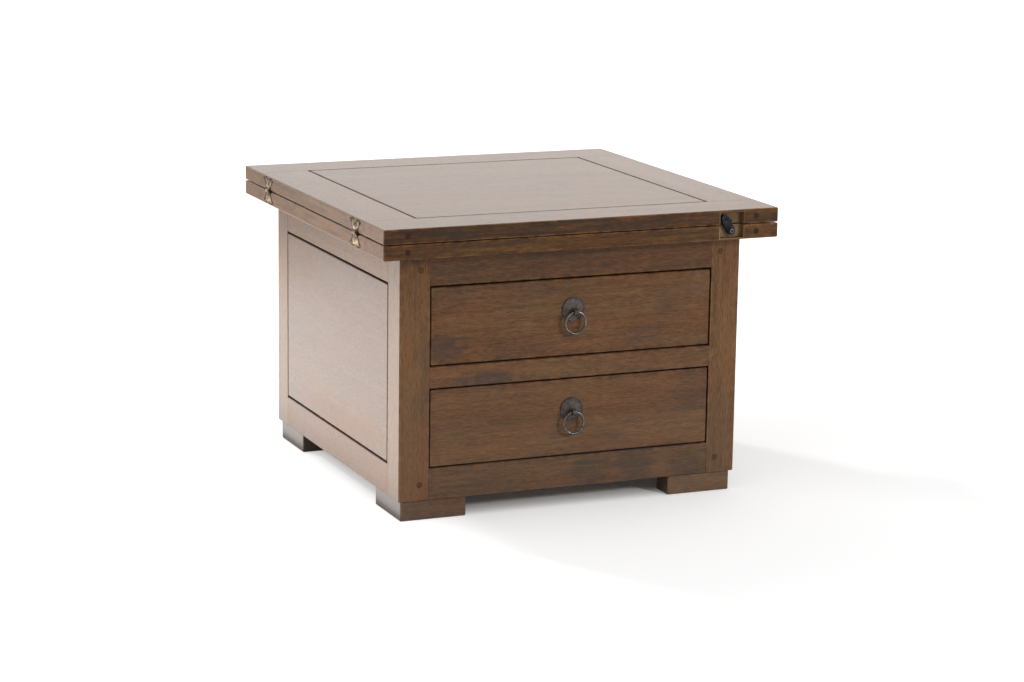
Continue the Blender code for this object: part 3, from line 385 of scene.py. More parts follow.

# Old brass by dirt and painted shade, with strokes per metre along Y and Z, and where the dirt and shade
# lie
BRASS = ((0.0, (0.205, 0.150, 0.076)), (0.45, (0.115, 0.080, 0.040)), (1.0, (0.034, 0.023, 0.012)))
BRASS_STROKES = (330.0, 110.0)
BRASS_SPECKS = 900.0
STROKE_LIMITS = (0.45, 0.58)
WING_RIM_FADE = (0.0034, 0.0066)
WING_RIM_STROKE = 0.005
KNUCKLE_FRONT = (0.0010, 0.0060)
KNUCKLE_FADE = (0.0035, 0.0095)
KNUCKLE_SHADE = 0.9
BRASS_SPECK_DIRT = 0.5
BRASS_METAL_FADE = (0.30, 0.80)
BRASS_GLOSS = 0.04
BRASS_ROUGH = 0.40
BRASS_DIRT_AND_SHADE_ROUGH = 0.22
BRASS_SPECK_RELIEF = 0.3
BRASS_BUMP = (0.35, 0.0008)

# A hinge screw's head: half section as (radius, height), slot, and the turn of its slot, which differs
SCREW_SECTION = (
    (0.0, 0.00030), (0.0009, 0.00028), (0.0017, 0.00020), (0.00225, 0.00005), (0.0024, -0.0002),
    (0.0022, -0.0009), (0.0, -0.0009),
)
SCREW_STEPS = 28
SCREW_SHARP_ANGLE = math.radians(35.0)
SLOT_HALF = 0.00028
SLOT_DEEP = 0.00030
SLOT_TURN_STEP = 1.3
SLOT_TURN_LEVEL = {"lower": 0.5, "upper": 1.3}
SLOT_TURN_END = {"front": 0.0, "back": 0.4}

# The latch: softened edges, and the pivot screw's ring, worn metal with a painted highlight, by its
# distance from the middle
LEVER_ROUND = 0.0006
STUD_ROUND = 0.0003
PIVOT_ROUND = 0.0002
PIVOT_BLACK = (0.020, 0.020, 0.022)
PIVOT_WORN_AND_LIT = (0.130, 0.130, 0.136)
PIVOT_RING_INSIDE = (0.0018, 0.0023)
PIVOT_RING_OUTSIDE = (0.0026, 0.0032)
PIVOT_SPECKS = 1500.0
PIVOT_SPECK_LIMITS = (0.30, 0.55)
PIVOT_ROUGH = 0.28
PIVOT_SPECK_ROUGH = 0.2
PIVOT_BUMP = (0.2, 0.0003)


class Graph:
    """A node tree, with short calls that take numbers, colours or sockets."""

    def __init__(self, tree):
        self.tree = tree

    def feed(self, socket, value):
        if isinstance(value, bpy.types.NodeSocket):
            self.tree.links.new(value, socket)
        elif socket.type == "RGBA":
            socket.default_value = (*value, 1.0)
        else:
            socket.default_value = value

    def node(self, kind, inputs=(), **settings):
        made = self.tree.nodes.new(kind)
        for key, value in settings.items():
            setattr(made, key, value)
        for key, value in dict(inputs).items():
            self.feed(made.inputs[key], value)
        return made

    def math(self, operation, first, second=0.0, third=0.0, clamp=False):
        made = self.node("ShaderNodeMath", {0: first, 1: second, 2: third}, operation=operation)
        made.use_clamp = clamp
        return made.outputs[0]

    def add(self, first, second):
        return self.math("ADD", first, second)

    def minus(self, first, second):
        return self.math("SUBTRACT", first, second)

    def times(self, first, second):
        return self.math("MULTIPLY", first, second)

    def over(self, first, second):
        return self.math("DIVIDE", first, second)

    def most(self, first, second):
        return self.math("MAXIMUM", first, second)

    def least(self, first, second):
        return self.math("MINIMUM", first, second)

    def share(self, value, factor, start):
        """A start value and a share of another on top of it."""
        return self.math("MULTIPLY_ADD", value, factor, start)

    def centred(self, noise):
        """Noise about zero."""
        return self.minus(noise, 0.5)

    def distance(self, first, second):
        return self.math("ABSOLUTE", self.minus(first, second))

    def length(self, first, second):
        """Length of a vector with two parts."""
        return self.math("SQRT", self.add(self.times(first, first), self.times(second, second)))

    def object_point(self):
        return self.node("ShaderNodeTexCoord").outputs["Object"]

    def split(self, vector):
        return self.node("ShaderNodeSeparateXYZ", {0: vector}).outputs

    def join(self, x, y, z):
        return self.node("ShaderNodeCombineXYZ", {0: x, 1: y, 2: z}).outputs[0]

    def noise(self, vector, scale=1.0, detail=2.0, roughness=0.5):
        inputs = {"Vector": vector, "Scale": scale, "Detail": detail, "Roughness": roughness}
        return self.node("ShaderNodeTexNoise", inputs).outputs["Fac"]

    def band(self, value, limits, ends=(0.0, 1.0)):
        """A smooth step between two end values while a value passes from one limit to the other."""
        (low, high), (first, last) = limits, ends
        inputs = {"Value": value, "From Min": low, "From Max": high, "To Min": first, "To Max": last}
        return self.node("ShaderNodeMapRange", inputs, interpolation_type="SMOOTHSTEP").outputs[0]

    def fade(self, value, limits):
        """1 up to the first limit, smoothly down to 0 at the second."""
        return self.band(value, limits, (1.0, 0.0))

    def mix(self, share, first, second, blend="MIX"):
        made = self.node("ShaderNodeMix", data_type="RGBA", blend_type=blend)
        self.feed(made.inputs["Factor"], share)
        self.feed(made.inputs["A"], first)
        self.feed(made.inputs["B"], second)
        return made.outputs["Result"]

    def ramp(self, value, stops):
        made = self.node("ShaderNodeValToRGB", {0: value})
        elements = made.color_ramp.elements
        while len(elements) < len(stops):
            elements.new(0.5)
        for element, (place, colour) in zip(elements, stops):
            element.position = place
            element.color = (*colour, 1.0)
        return made.outputs[0]

    def seen_ray(self):
        """1 for rays that show the background: from the camera, off gloss and through glass."""
        path = self.node("ShaderNodeLightPath").outputs
        seen = self.most(path["Is Camera Ray"], path["Is Glossy Ray"])
        return self.most(seen, path["Is Transmission Ray"])

    def outside_distance(self, point, low, high):
        """How far a point lies outside a box in the axes given, below zero inside it."""
        middle = (low + high) / 2
        half = (high - low) / 2
        furthest = None
        for axis, value in enumerate(point):
            away = self.minus(self.distance(value, middle[axis]), half[axis])
            furthest = away if furthest is None else self.most(furthest, away)
        return furthest

    def edge_distance(self, point, low, high):
        """How far a point on a box's surface lies from the nearest edge."""
        middle = (low + high) / 2
        half = (high - low) / 2
        x, y, z = [self.minus(half[axis], self.distance(point[axis], middle[axis])) for axis in (X, Y, Z)]
        return self.least(self.least(self.most(x, y), self.most(x, z)), self.most(y, z))


class Surface(Graph):
    """A material with one surface shader."""

    def __init__(self, name):
        self.material = bpy.data.materials.new(name)
        self.material.use_nodes = True
        super().__init__(self.material.node_tree)
        self.shader = self.tree.nodes["Principled BSDF"]

    def give(self, name, value):
        """Feed one of the shader's inputs."""
        self.feed(self.shader.inputs[name], value)

    def bump(self, height, strength, depth):
        inputs = {"Height": height, "Strength": strength, "Distance": depth}
        self.give("Normal", self.node("ShaderNodeBump", inputs).outputs[0])


def board_box(node):
    """A board's low and high corner without its tongues, from its two broad sides."""
    low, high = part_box(node)
    size = high - low
    thin = min(range(3), key=lambda axis: size[axis])
    broad = [
        vert.co
        for vert in frame["nodes"][node].data.vertices
        if min(vert.co[thin] - low[thin], high[thin] - vert.co[thin]) < EDGE / 10
    ]
    for axis in range(3):
        if axis != thin:
            low[axis] = max(low[axis], min(co[axis] for co in broad) - EDGE)
            high[axis] = min(high[axis], max(co[axis] for co in broad) + EDGE)
    return low, high


class Board(Surface):
    """Stained wood of one board, whose tone, grey and roughness are built up step by step."""

    def __init__(self, node, along, across, stave, seed):
        """The grain runs along one axis, and glued staves follow across another."""
        super().__init__(f"wood_{node}")
        self.low, self.high = board_box(node)
        self.along = along
        self.place = self.object_point()
        self.point = self.split(self.place)
        self.normal = self.split(self.node("ShaderNodeTexCoord").outputs["Normal"])
        shift = Vector([math.sin(seed * turn) for turn in SEED_TURNS]) * SEED_REACH

        # Which stave a point is in, and that stave's own random value
        start = self.add(self.point[across], stave * (0.5 + START_REACH * math.sin(seed * START_TURN)))
        strip = self.add(self.math("FLOOR", self.over(start, stave)), seed * STAVE_SEED)
        lot = self.node("ShaderNodeTexWhiteNoise", {"W": strip}, noise_dimensions="1D")
        self.chance = lot.outputs["Value"]

        # Coordinates along, across and through the grain, which waves a little
        deep = X + Y + Z - along - across
        self.u = self.add(self.point[along], self.share(self.chance, STAVE_SHIFT_ALONG, shift[0]))
        self.v = self.add(self.point[across], shift[1])
        self.w = self.add(self.point[deep], self.share(self.chance, STAVE_SHIFT_DEEP, shift[2]))
        self.v = self.share(self.drawn(WAVE), WAVE_REACH, self.v)

    def drawn(self, grain):
        """Noise drawn out along the grain."""
        length, width, detail = grain
        cells = self.join(self.times(self.u, length), self.times(self.v, width), self.times(self.w, width))
        return self.noise(cells, detail=detail)

    def facing(self, axis, side, limits=FACE):
        """1 where the surface faces the low (-1) or high (1) side of an axis."""
        return self.band(self.times(self.normal[axis], side), limits)

    def tint(self, mask, change):
        self.tone = self.share(mask, change, self.tone)

    def roughen(self, mask, change):
        self.rough = self.share(mask, change, self.rough)

    def add_grain(self, tone, rough):
        """Broad figure, streaks, short fibres, hairs, differing staves, clouds and pores."""
        self.tone = PLAIN_TONE + tone
        self.rough = rough
        self.streak = self.drawn(STREAK)
        self.fibre = self.drawn(FIBRE)
        self.pores = self.band(self.drawn(PORES), PORE_LIMITS)
        clouds = self.band(self.drawn(CLOUDS), CLOUD_LIMITS)
        self.tint(self.centred(self.drawn(FIGURE)), FIGURE_TONE)
        self.tint(self.centred(self.streak), STREAK_TONE)
        self.tint(self.centred(self.fibre), FIBRE_TONE)
        self.tint(self.centred(self.drawn(HAIR)), HAIR_TONE)
        self.tint(self.centred(self.chance), STAVE_TONE)
        self.tint(clouds, CLOUD_TONE)
        self.tint(self.pores, PORE_TONE)
        self.roughen(self.centred(self.streak), STREAK_ROUGH)
        self.roughen(self.pores, PORE_ROUGH)
        self.grey = self.times(clouds, CLOUD_GREY)

    def add_tone_oval(self, tone_oval, ragged, grey_share):
        """A ragged oval on a side that is darker and greyer, or paler and more matt."""
        middle_along, middle_z, half_along, half_z, change = tone_oval
        across = self.over(self.minus(self.point[self.along], middle_along), half_along)
        upward = self.over(self.minus(self.point[Z], middle_z), half_z)
        reach = self.share(ragged, OVAL_WARP, self.length(across, upward))
        mask = self.fade(reach, OVAL_FADE)
        mask = self.times(mask, self.band(self.streak, OVAL_STREAKS, OVAL_SHARES))
        self.tint(mask, change)
        if change < 0:
            self.grey = self.most(self.grey, self.times(mask, -grey_share * change))
        else:
            self.roughen(mask, OVAL_ROUGH * change)

    def add_tone_ovals(self, tone_ovals, grey_share):
        if tone_ovals:
            ragged = self.centred(self.drawn(RAGGED))
            for tone_oval in tone_ovals:
                self.add_tone_oval(tone_oval, ragged, grey_share)

    def add_wear(self):
        """Patches that are rubbed pale along the edges, and patches of grime beside them."""
        edge = self.edge_distance(self.point, self.low, self.high)
        self.patchy = self.noise(self.place, scale=PATCHES, detail=3.0)
        rubbed = self.times(self.fade(edge, RUBBED_FADE), self.band(self.patchy, RUBBED_PATCHES))
        self.tint(rubbed, RUBBED_TONE)
        self.roughen(rubbed, RUBBED_ROUGH)
        grime = self.times(self.fade(edge, GRIME_FADE), self.band(self.patchy, GRIME_PATCHES))
        self.tint(grime, GRIME_TONE)

    def add_gaps(self, gaps):
        """Painted shade and dirt on the faces in narrow gaps."""
        dirt_and_shade = 0.0
        for axis, side in gaps:
            dirt_and_shade = self.most(self.facing(axis, side, GAP_FACE), dirt_and_shade)
        self.tint(dirt_and_shade, GAP_TONE)
        self.roughen(dirt_and_shade, GAP_ROUGH)

    def add_edges(self, edges):
        """Stronger streaks and a rougher finish on a leaf's narrow edges."""
        for axis, side, contrast, rough in edges:
            face = self.facing(axis, side)
            self.tint(self.times(face, self.centred(self.streak)), contrast)
            self.roughen(face, rough)

    def add_lip(self, side, change):
        """A painted highlight in patches along a front corner."""
        corner = self.times(self.facing(Y, -1, CORNER_FACE), self.facing(Z, side, CORNER_FACE))
        self.tint(self.times(corner, self.band(self.patchy, HIGHLIGHT_LIP_PATCHES)), change)

    def stained(self, stops, edges):
        """Colour of the stain with its casts and its grey."""
        casts = self.ramp(self.band(self.drawn(CASTS), CAST_LIMITS), ((0.0, OLIVE_CAST), (1.0, RED_CAST)))
        colour = self.mix(1.0, self.ramp(self.tone, stops), casts, "MULTIPLY")
        colour = self.mix(self.grey, colour, GREY_CAST)
        for axis, side, *_ in edges:
            colour = self.mix(self.facing(axis, side), colour, WARM_CAST[axis], "MULTIPLY")
        return colour

    def bared(self, colour, bare):
        """The colour with bare wood and painted light, lifting the shade, in the latch's recess, and a
        painted highlight round it.
        """
        left_end = (RECESS_LOW.x, RECESS_LOW.x + BARE_LIT_LEFT_END)
        outside = self.outside_distance((self.point[X], self.point[Z]), RECESS_LOW, RECESS_HIGH)
        worn_and_lit = self.times(self.facing(Y, -1), self.fade(outside, (HIGHLIGHT_LINE / 2, HIGHLIGHT_LINE)))
        depths = [self.low.y + depth for depth in BARE_LIT_DEPTHS]
        deep_in = self.band(self.point[Y], depths, BARE_LIT_SHARES)
        worn_and_lit = self.times(worn_and_lit, self.most(deep_in, self.fade(self.point[X], left_end)))
        wall = self.times(self.facing(X, -1), self.band(self.point[X], left_end, (0.0, BARE_LIT_WALL_SHARE)))
        streaks = self.band(self.streak, BARE_LIT_STREAKS, (bare * BARE_LIT_LEAST, bare))
        return self.mix(self.times(self.most(worn_and_lit, wall), streaks), colour, BARE_LIT_WOOD)

    def finish(self, colour, gloss):
        """The shader's inputs, with the tongues painted dark as shade in the gaps."""
        # Painted shade: the tongues outside the board's box are near black
        hidden = self.band(self.outside_distance(self.point, self.low, self.high), HIDDEN_FADE)
        self.give("Base Color", self.mix(hidden, colour, HIDDEN_DARK))
        self.give("Roughness", self.rough)
        self.give("Specular IOR Level", gloss)
        relief = self.share(self.pores, PORE_RELIEF, self.times(self.fibre, FIBRE_RELIEF))
        self.bump(relief, *WOOD_BUMP)
        return self.material


def wood(
    node, along, across, stave, seed, tone=0.0, stops=STAIN, rough=WOOD_ROUGH, gloss=WOOD_GLOSS, dust_and_reflection=0.0,
    bare=0.0, lip=None, faces=(), gaps=(), edges=(), tone_ovals=(), grey_share=GREY_CAST_SHARE,
):
    """Stained board of glued staves.

    dust_and_reflection is the share of grey dust and painted floor reflection at the floor, bare that of
    bare wood and painted light in the latch's recess, and lip the (side along Z, change of tone) of a
    painted highlight on a front corner. faces lists (axis, side, change of tone), gaps the (axis, side) of
    faces in a narrow gap, painted dark as shade, and edges the (axis, side, contrast, roughness) that a
    leaf's narrow edges have more. Dark tone ovals, some of them painted shade, are greyer by grey_share.
    """
    board = Board(node, along, across, stave, seed)
    board.add_grain(tone, rough)
    board.add_tone_ovals(tone_ovals, grey_share)
    board.add_wear()
    for axis, side, change in faces:
        board.tint(board.facing(axis, side), change)
    if gaps:
        board.add_gaps(gaps)
    board.add_edges(edges)
    if lip:
        board.add_lip(*lip)
    colour = board.stained(stops, edges)
    if bare:
        colour = board.bared(colour, bare)
    if dust_and_reflection:
        # Greyer towards the floor: dust and a painted reflection of the floor
        colour = board.mix(board.band(board.point[Z], (0.0, DUST_AND_REFLECTION_HEIGHT), (dust_and_reflection, 0.0)), colour, DUST_AND_REFLECTION)
    return board.finish(colour, gloss)


def metal(name, colour, dark, rough, patches, bump, metallic=1.0, gloss=0.5):
    """Worn metal: dark patina in so many patches per metre, brighter where rubbed, with uneven relief."""
    skin = Surface(name)
    place = skin.object_point()
    patch = skin.noise(place, scale=patches, detail=4.0, roughness=0.6)
    specks = skin.noise(place, scale=patches * PATINA_SPECKS)
    patina = skin.band(skin.share(specks, PATINA_SPECK_SHARE, patch), PATINA_LIMITS)
    skin.give("Base Color", skin.mix(patina, colour, dark))
    skin.give("Metallic", metallic)
    skin.give("Specular IOR Level", gloss)
    skin.give("Roughness", skin.share(patina, PATINA_ROUGH, rough))
    skin.bump(skin.share(specks, PATINA_SPECK_RELIEF, patch), bump, PATINA_DEPTH)
    return skin.material


IRON = metal("dark_iron", (0.082, 0.064, 0.055), (0.045, 0.035, 0.030), 0.42, 150.0, 0.50, 0.25, 0.25)
WIRE_IRON = metal("wire_iron", (0.150, 0.137, 0.120), (0.060, 0.054, 0.048), 0.20, 240.0, 0.20)
BLACK_IRON = metal("black_iron", (0.023, 0.024, 0.026), (0.010, 0.010, 0.012), 0.36, 160.0, 0.30)
STEEL = metal("plain_steel", (0.450, 0.450, 0.440), (0.240, 0.240, 0.235), 0.30, 200.0, 0.15)
DARK_BRASS = metal("dark_brass", (0.120, 0.088, 0.046), (0.030, 0.021, 0.011), 0.38, 500.0, 0.30)


def plug_wood(name, tone):
    """End grain of a wooden plug with a dark line where it meets the board."""
    skin = Surface(name)
    place = skin.object_point()
    point = skin.split(place)
    rim = skin.band(skin.length(point[X], point[Y]), PLUG_RIM)
    specks = skin.noise(place, scale=PLUG_SPECKS, detail=3.0)
    shade = skin.share(skin.centred(specks), PLUG_SPECK_TONE, tone)
    shade = skin.share(rim, PLUG_RIM_TONE, shade)
    skin.give("Base Color", skin.ramp(shade, STAIN))
    skin.give("Roughness", skin.share(specks, PLUG_SPECK_ROUGH, PLUG_ROUGH))
    skin.give("Specular IOR Level", PLUG_GLOSS)
    skin.bump(specks, *PLUG_BUMP)
    return skin.material


def brass(name, middle_y, middle_z):
    """Old brass of a hinge: rubbed pale amid the wings, dark in strokes, with painted shade and patina
    along the outline and painted shade on the knuckle's front.
    """
    skin = Surface(name)
    place = skin.object_point()
    point = skin.split(place)
    along = skin.distance(point[Y], middle_y)
    away = skin.distance(point[Z], middle_z)
    flare = skin.math("POWER", skin.over(away, WING_REACH), WING_CURVE)
    half = skin.share(flare, WING_FLARE - WING_WAIST, WING_WAIST)
    inside = skin.least(skin.minus(half, along), skin.minus(WING_REACH, away))
    across_strokes, upward_strokes = BRASS_STROKES
    cells = skin.join(0.0, skin.times(point[Y], across_strokes), skin.times(point[Z], upward_strokes))
    strokes = skin.noise(cells, detail=3.0)
    specks = skin.noise(place, scale=BRASS_SPECKS)
    # Painted shade of the domed wing's curve, with patina, along the outline
    rim = skin.fade(skin.share(strokes, WING_RIM_STROKE, inside), WING_RIM_FADE)
    dirt_and_shade = skin.most(skin.band(strokes, STROKE_LIMITS), rim)
    # Painted shade: the knuckle is darkest on the side towards the front
    front = skin.band(skin.minus(middle_y, point[Y]), KNUCKLE_FRONT)
    knuckle = skin.times(front, skin.fade(away, KNUCKLE_FADE))
    dirt_and_shade = skin.most(dirt_and_shade, skin.times(knuckle, KNUCKLE_SHADE))
    dirt_and_shade = skin.math("MULTIPLY_ADD", skin.centred(specks), BRASS_SPECK_DIRT, dirt_and_shade, clamp=True)
    skin.give("Base Color", skin.ramp(dirt_and_shade, BRASS))
    skin.give("Metallic", skin.fade(dirt_and_shade, BRASS_METAL_FADE))
    skin.give("Specular IOR Level", BRASS_GLOSS)
    skin.give("Roughness", skin.share(dirt_and_shade, BRASS_DIRT_AND_SHADE_ROUGH, BRASS_ROUGH))
    skin.bump(skin.share(specks, BRASS_SPECK_RELIEF, strokes), *BRASS_BUMP)
    return skin.material


def screw_steel(name, middle):
    """The latch's pivot screw: blackened, with a bright ring round its socket, worn metal with a painted
    highlight.
    """
    skin = Surface(name)
    place = skin.object_point()
    point = skin.split(place)
    reach = skin.length(skin.minus(point[X], middle.x), skin.minus(point[Z], middle.z))
    specks = skin.noise(place, scale=PIVOT_SPECKS, detail=3.0)
    worn_and_lit = skin.times(skin.band(reach, PIVOT_RING_INSIDE), skin.fade(reach, PIVOT_RING_OUTSIDE))
    worn_and_lit = skin.times(worn_and_lit, skin.band(specks, PIVOT_SPECK_LIMITS))
    skin.give("Base Color", skin.mix(worn_and_lit, PIVOT_BLACK, PIVOT_WORN_AND_LIT))
    skin.give("Metallic", 1.0)
    skin.give("Roughness", skin.share(specks, PIVOT_SPECK_ROUGH, PIVOT_ROUGH))
    skin.bump(specks, *PIVOT_BUMP)
    return skin.material


def dress(node, material):
    frame["nodes"][node].material_slots[0].material = material


def round_sides(first, second):
    """Both sides of two axes, as the narrow faces round a panel."""
    return [(axis, side) for axis in (first, second) for side in (-1, 1)]


# Boards as (node, axis of the grain, axis across the staves, width of a stave, settings of the wood)
def corner_boards():
    for end in ENDS:
        for side in SIDES:
            sx, sy = OUTWARD[side], OUTWARD[end]
            post = {"tone": POST_TONE, "dust_and_reflection": CORNER_DUST_AND_REFLECTION, "gloss": SIDE_GLOSS, "grey_share": 0.0}
            post["gaps"] = ((X, -sx), (Y, -sy))
            post["faces"] = ((X, sx, SIDE_TONE),)
            yield f"{end}_{side}_post", Z, X, POST_STAVE, post
            foot = {"tone": FOOT_TONE[side], "dust_and_reflection": CORNER_DUST_AND_REFLECTION, "gloss": FOOT_GLOSS}
            # Inner faces darker: partly painted shade under the table, partly unpolished wood
            foot["faces"] = ((X, -sx, FOOT_INNER_TONE), (Y, -sy, FOOT_INNER_TONE), (X, sx, FOOT_SIDE_TONE))
            yield f"{end}_{side}_foot", X, Z, POST_STAVE, foot


def rail_boards():
    for rail, (tone, dust_and_reflection, inward) in FRONT_RAILS.items():
        front = {"tone": tone, "dust_and_reflection": dust_and_reflection, "gaps": [(Z, side) for side in inward]}
        yield f"front_{rail}_rail", X, Z, RAIL_STAVE, front
    for rail, (inward, tone, gloss) in SIDE_RAILS.items():
        gaps = ((Z, inward),)
        yield f"back_{rail}_rail", X, Z, RAIL_STAVE, {"gaps": gaps}
        for side in SIDES:
            side_rail = {"gloss": gloss, "faces": ((X, OUTWARD[side], tone),), "gaps": gaps}
            yield f"{side}_{rail}_rail", Y, Z, RAIL_STAVE, side_rail


def panel_boards():
    yield "back_panel", X, Z, PANEL_STAVE, {"gaps": round_sides(X, Z)}
    for side in SIDES:
        panel = {"tone": PANEL_TONE, "gloss": PANEL_GLOSS, "gaps": round_sides(Y, Z)}
        yield f"{side}_panel", Y, Z, PANEL_STAVE, panel


def leaf_boards():
    for leaf, (tone, bare, lip, rough) in LEAVES.items():
        yield f"{leaf}_leaf_panel", X, Y, PANEL_STAVE, {"gaps": round_sides(X, Y)}
        for end in ENDS:
            sy = OUTWARD[end]
            rail = {"faces": [(Y, sy, tone)], "gaps": ((Y, -sy),), "edges": [(Y, sy, RAIL_CONTRAST, 0.0)]}
            for sx in (-1, 1):
                rail["faces"].append((X, sx, LEAF_SIDE_TONE))
                rail["edges"].append((X, sx, RAIL_END_CONTRAST, rough))
            if end == "front":
                rail.update(bare=bare, lip=lip, grey_share=0.0)
            yield f"{leaf}_leaf_{end}_rail", X, Y, RAIL_STAVE, rail
        for side in SIDES:
            sx = OUTWARD[side]
            stile = {"faces": ((X, sx, LEAF_SIDE_TONE),), "gaps": ((X, -sx),)}
            stile["edges"] = ((X, sx, STILE_CONTRAST, rough),)
            yield f"{leaf}_leaf_{side}_stile", Y, X, RAIL_STAVE, stile


def drawer_fronts():
    for level in LEVELS:
        front = {"tone": DRAWER_TONE[level], "dust_and_reflection": DRAWER_DUST_AND_REFLECTION}
        # Painted shade on the narrow edges, in the gaps round the drawer
        front["faces"] = [(axis, side, DRAWER_EDGE_TONE) for axis, side in round_sides(X, Z)]
        yield f"{level}_drawer_front", X, Z, FRONT_STAVE, front


def inner_boards():
    yield "carcass_top_board", X, Y
    yield "base_panel", X, Y
    for side in SIDES:
        yield f"upper_drawer_{side}_runner", Y, X
    for level in LEVELS:
        yield f"{level}_drawer_bottom", X, Y
        yield f"{level}_drawer_back", X, Z
        for side in SIDES:
            yield f"{level}_drawer_{side}_side", Y, Z


def dress_wood():
    """Give every board its own wood; its number sets its place in the noise."""
    boards = [*corner_boards(), *rail_boards(), *panel_boards(), *leaf_boards(), *drawer_fronts()]
    for seed, (node, along, across, stave, settings) in enumerate(boards, 1):
        dress(node, wood(node, along, across, stave, seed, tone_ovals=TONE_OVALS.get(node, ()), **settings))
    for seed, (node, along, across) in enumerate(inner_boards(), INNER_SEED):
        dress(node, wood(node, along, across, PANEL_STAVE, seed, stops=INNER, rough=INNER_ROUGH))


def add_object(name, data):
    made = bpy.data.objects.new(name, data)
    bpy.context.scene.collection.objects.link(made)
    return made


def to_mesh(name, work):
    mesh = bpy.data.meshes.new(name)
    work.to_mesh(mesh)
    work.free()
    return mesh


def add_plug(name, body, place, turn, material):
    """A round plug with a softened rim: its local Z points out of the board."""
    work = bmesh.new()
    depth = PLUG_PROUD + PLUG_DEEP
    bmesh.ops.create_cone(
        work, cap_ends=True, segments=PLUG_STEPS, radius1=PLUG_RADIUS, radius2=PLUG_RADIUS, depth=depth
    )
    bmesh.ops.translate(work, verts=work.verts, vec=(0.0, 0.0, PLUG_PROUD - depth / 2))
    rim = [edge for edge in work.edges if all(vert.co.z > 0 for vert in edge.verts)]
    bmesh.ops.bevel(work, geom=rim, offset=PLUG_ROUND, segments=2, affect="EDGES")
    mesh = to_mesh(name, work)
    mesh.materials.append(material)
    plug = add_object(name, mesh)
    plug.location = place
    plug.rotation_euler = turn
    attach(plug, body)


def add_plugs():
    """Plugs over the joints, near the corners of the carcass and of the leaves, in front and behind."""
    pale = plug_wood("plug_pale", PALE_PLUG_TONE)
    dark = plug_wood("plug_dark", DARK_PLUG_TONE)
    for face, end in enumerate(ENDS):
        turn = (-OUTWARD[end] * math.pi / 2, 0.0, 0.0)
        for corner, side in enumerate(SIDES):
            inward = -OUTWARD[side]
            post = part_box(f"{end}_{side}_post")
            x = (post[0].x + post[1].x) / 2 + inward * PLUG_SHIFT
            for level, rail in (("high", f"{end}_top_rail"), ("low", f"{end}_bottom_rail")):
                low, high = board_box(rail)
                place = (x, post[face].y, (low.z + high.z) / 2)
                add_plug(f"{end}_{side}_{level}_plug", "carcass", place, turn, pale)
            for leaf in LEVELS:
                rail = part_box(f"{leaf}_leaf_{end}_rail")
                leaf_x = rail[corner].x + inward * LEAF_PLUG_INSET
                place = (leaf_x, rail[face].y, (rail[0].z + rail[1].z) / 2)
                add_plug(f"{leaf}_leaf_{end}_{side}_plug", f"{leaf}_leaf", place, turn, dark)


def body_of(node):
    bodies = frame["record"]["behaviour"]["bodies"]
    return next(body for body, nodes in bodies.items() if node in nodes)


def add_piece(name, mesh, material, body):
    piece = add_object(name, mesh)
    mesh.materials.append(material)
    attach(piece, body)
    return piece


def finish_mesh(name, work, angle=SHARP_ANGLE):
    """A mesh with smooth shading up to an angle."""
    bmesh.ops.recalc_face_normals(work, faces=work.faces)
    mesh = to_mesh(name, work)
    mesh.shade_smooth()
    mesh.set_sharp_from_angle(angle=angle)
    return mesh


def rounded(node, width, segments, material):
    """A copy of a node's solid with its sharp edges rounded, which stands for it."""
    work = bmesh.new()
    work.from_mesh(frame["nodes"][node].data)
    bmesh.ops.remove_doubles(work, verts=work.verts, dist=MERGE_DISTANCE)
    bmesh.ops.dissolve_limit(work, angle_limit=FLAT_ANGLE, verts=work.verts, edges=work.edges)
    sharp = [
        edge for edge in work.edges if len(edge.link_faces) == 2 and edge.calc_face_angle() > SHARP_ANGLE
    ]
    bmesh.ops.bevel(
        work, geom=sharp, offset=width, segments=segments, profile=0.5, affect="EDGES", clamp_overlap=True
    )
    piece = add_piece(f"{node}_finished", finish_mesh(f"{node}_finished", work), material, body_of(node))
    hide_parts(node)


def turns(steps):
    """Angles in equal steps round a full turn."""
    return [2 * math.pi * step / steps for step in range(steps)]


def lathe(work, profile, steps, matrix):
    """Spin a half section of (radius, height), whose ends lie on the axis, about local Z."""
    rings = []
    for radius, height in profile:
        if radius < TINY:
            rings.append([work.verts.new(matrix @ Vector((0.0, 0.0, height)))])
            continue
        ring = []
        for angle in turns(steps):
            point = Vector((radius * math.cos(angle), radius * math.sin(angle), height))
            ring.append(work.verts.new(matrix @ point))
        rings.append(ring)
    for first, second in zip(rings, rings[1:]):
        for step in range(steps):
            after = (step + 1) % steps
            corners = [first[step % len(first)], first[after % len(first)]]
            corners += [second[after % len(second)], second[step % len(second)]]
            work.faces.new(list(dict.fromkeys(corners)))


def rose_section():
    """Half section of a rose as (radius, height), from the middle of the dome round to that of its back."""
    section = []
    for step in range(DOME_STEPS + 1):
        share = step / DOME_STEPS
        section.append((DOME_RADIUS * share, DOME_HIGH - (DOME_HIGH - DOME_LOW) * share * share))
    for step in range(RIM_STEPS + 1):
        angle = RIM_ARC * (1 - step / RIM_STEPS)
        radius = RIM_MIDDLE[0] + RIM_HALF[0] * math.cos(angle)
        section.append((radius, RIM_MIDDLE[1] + RIM_HALF[1] * math.sin(angle)))
    return [*section, (ROSE_FOOT, 0.0), (0.0, 0.0)]


def eye_outlines(depth):
    """A lug's outline, round in front and straight back to a depth, and its bore, as (along Y, along Z)."""
    outer = []
    bore = []
    for angle in turns(EYE_STEPS):
        out = Vector((math.cos(angle), math.sin(angle)))
        reach = EYE_NOSE
        if out.x > 0:
            reach = min(depth / out.x, EYE_NOSE / max(abs(out.y), TINY))
        outer.append(out * reach)
        bore.append(out * EYE_BORE)
    return outer, bore


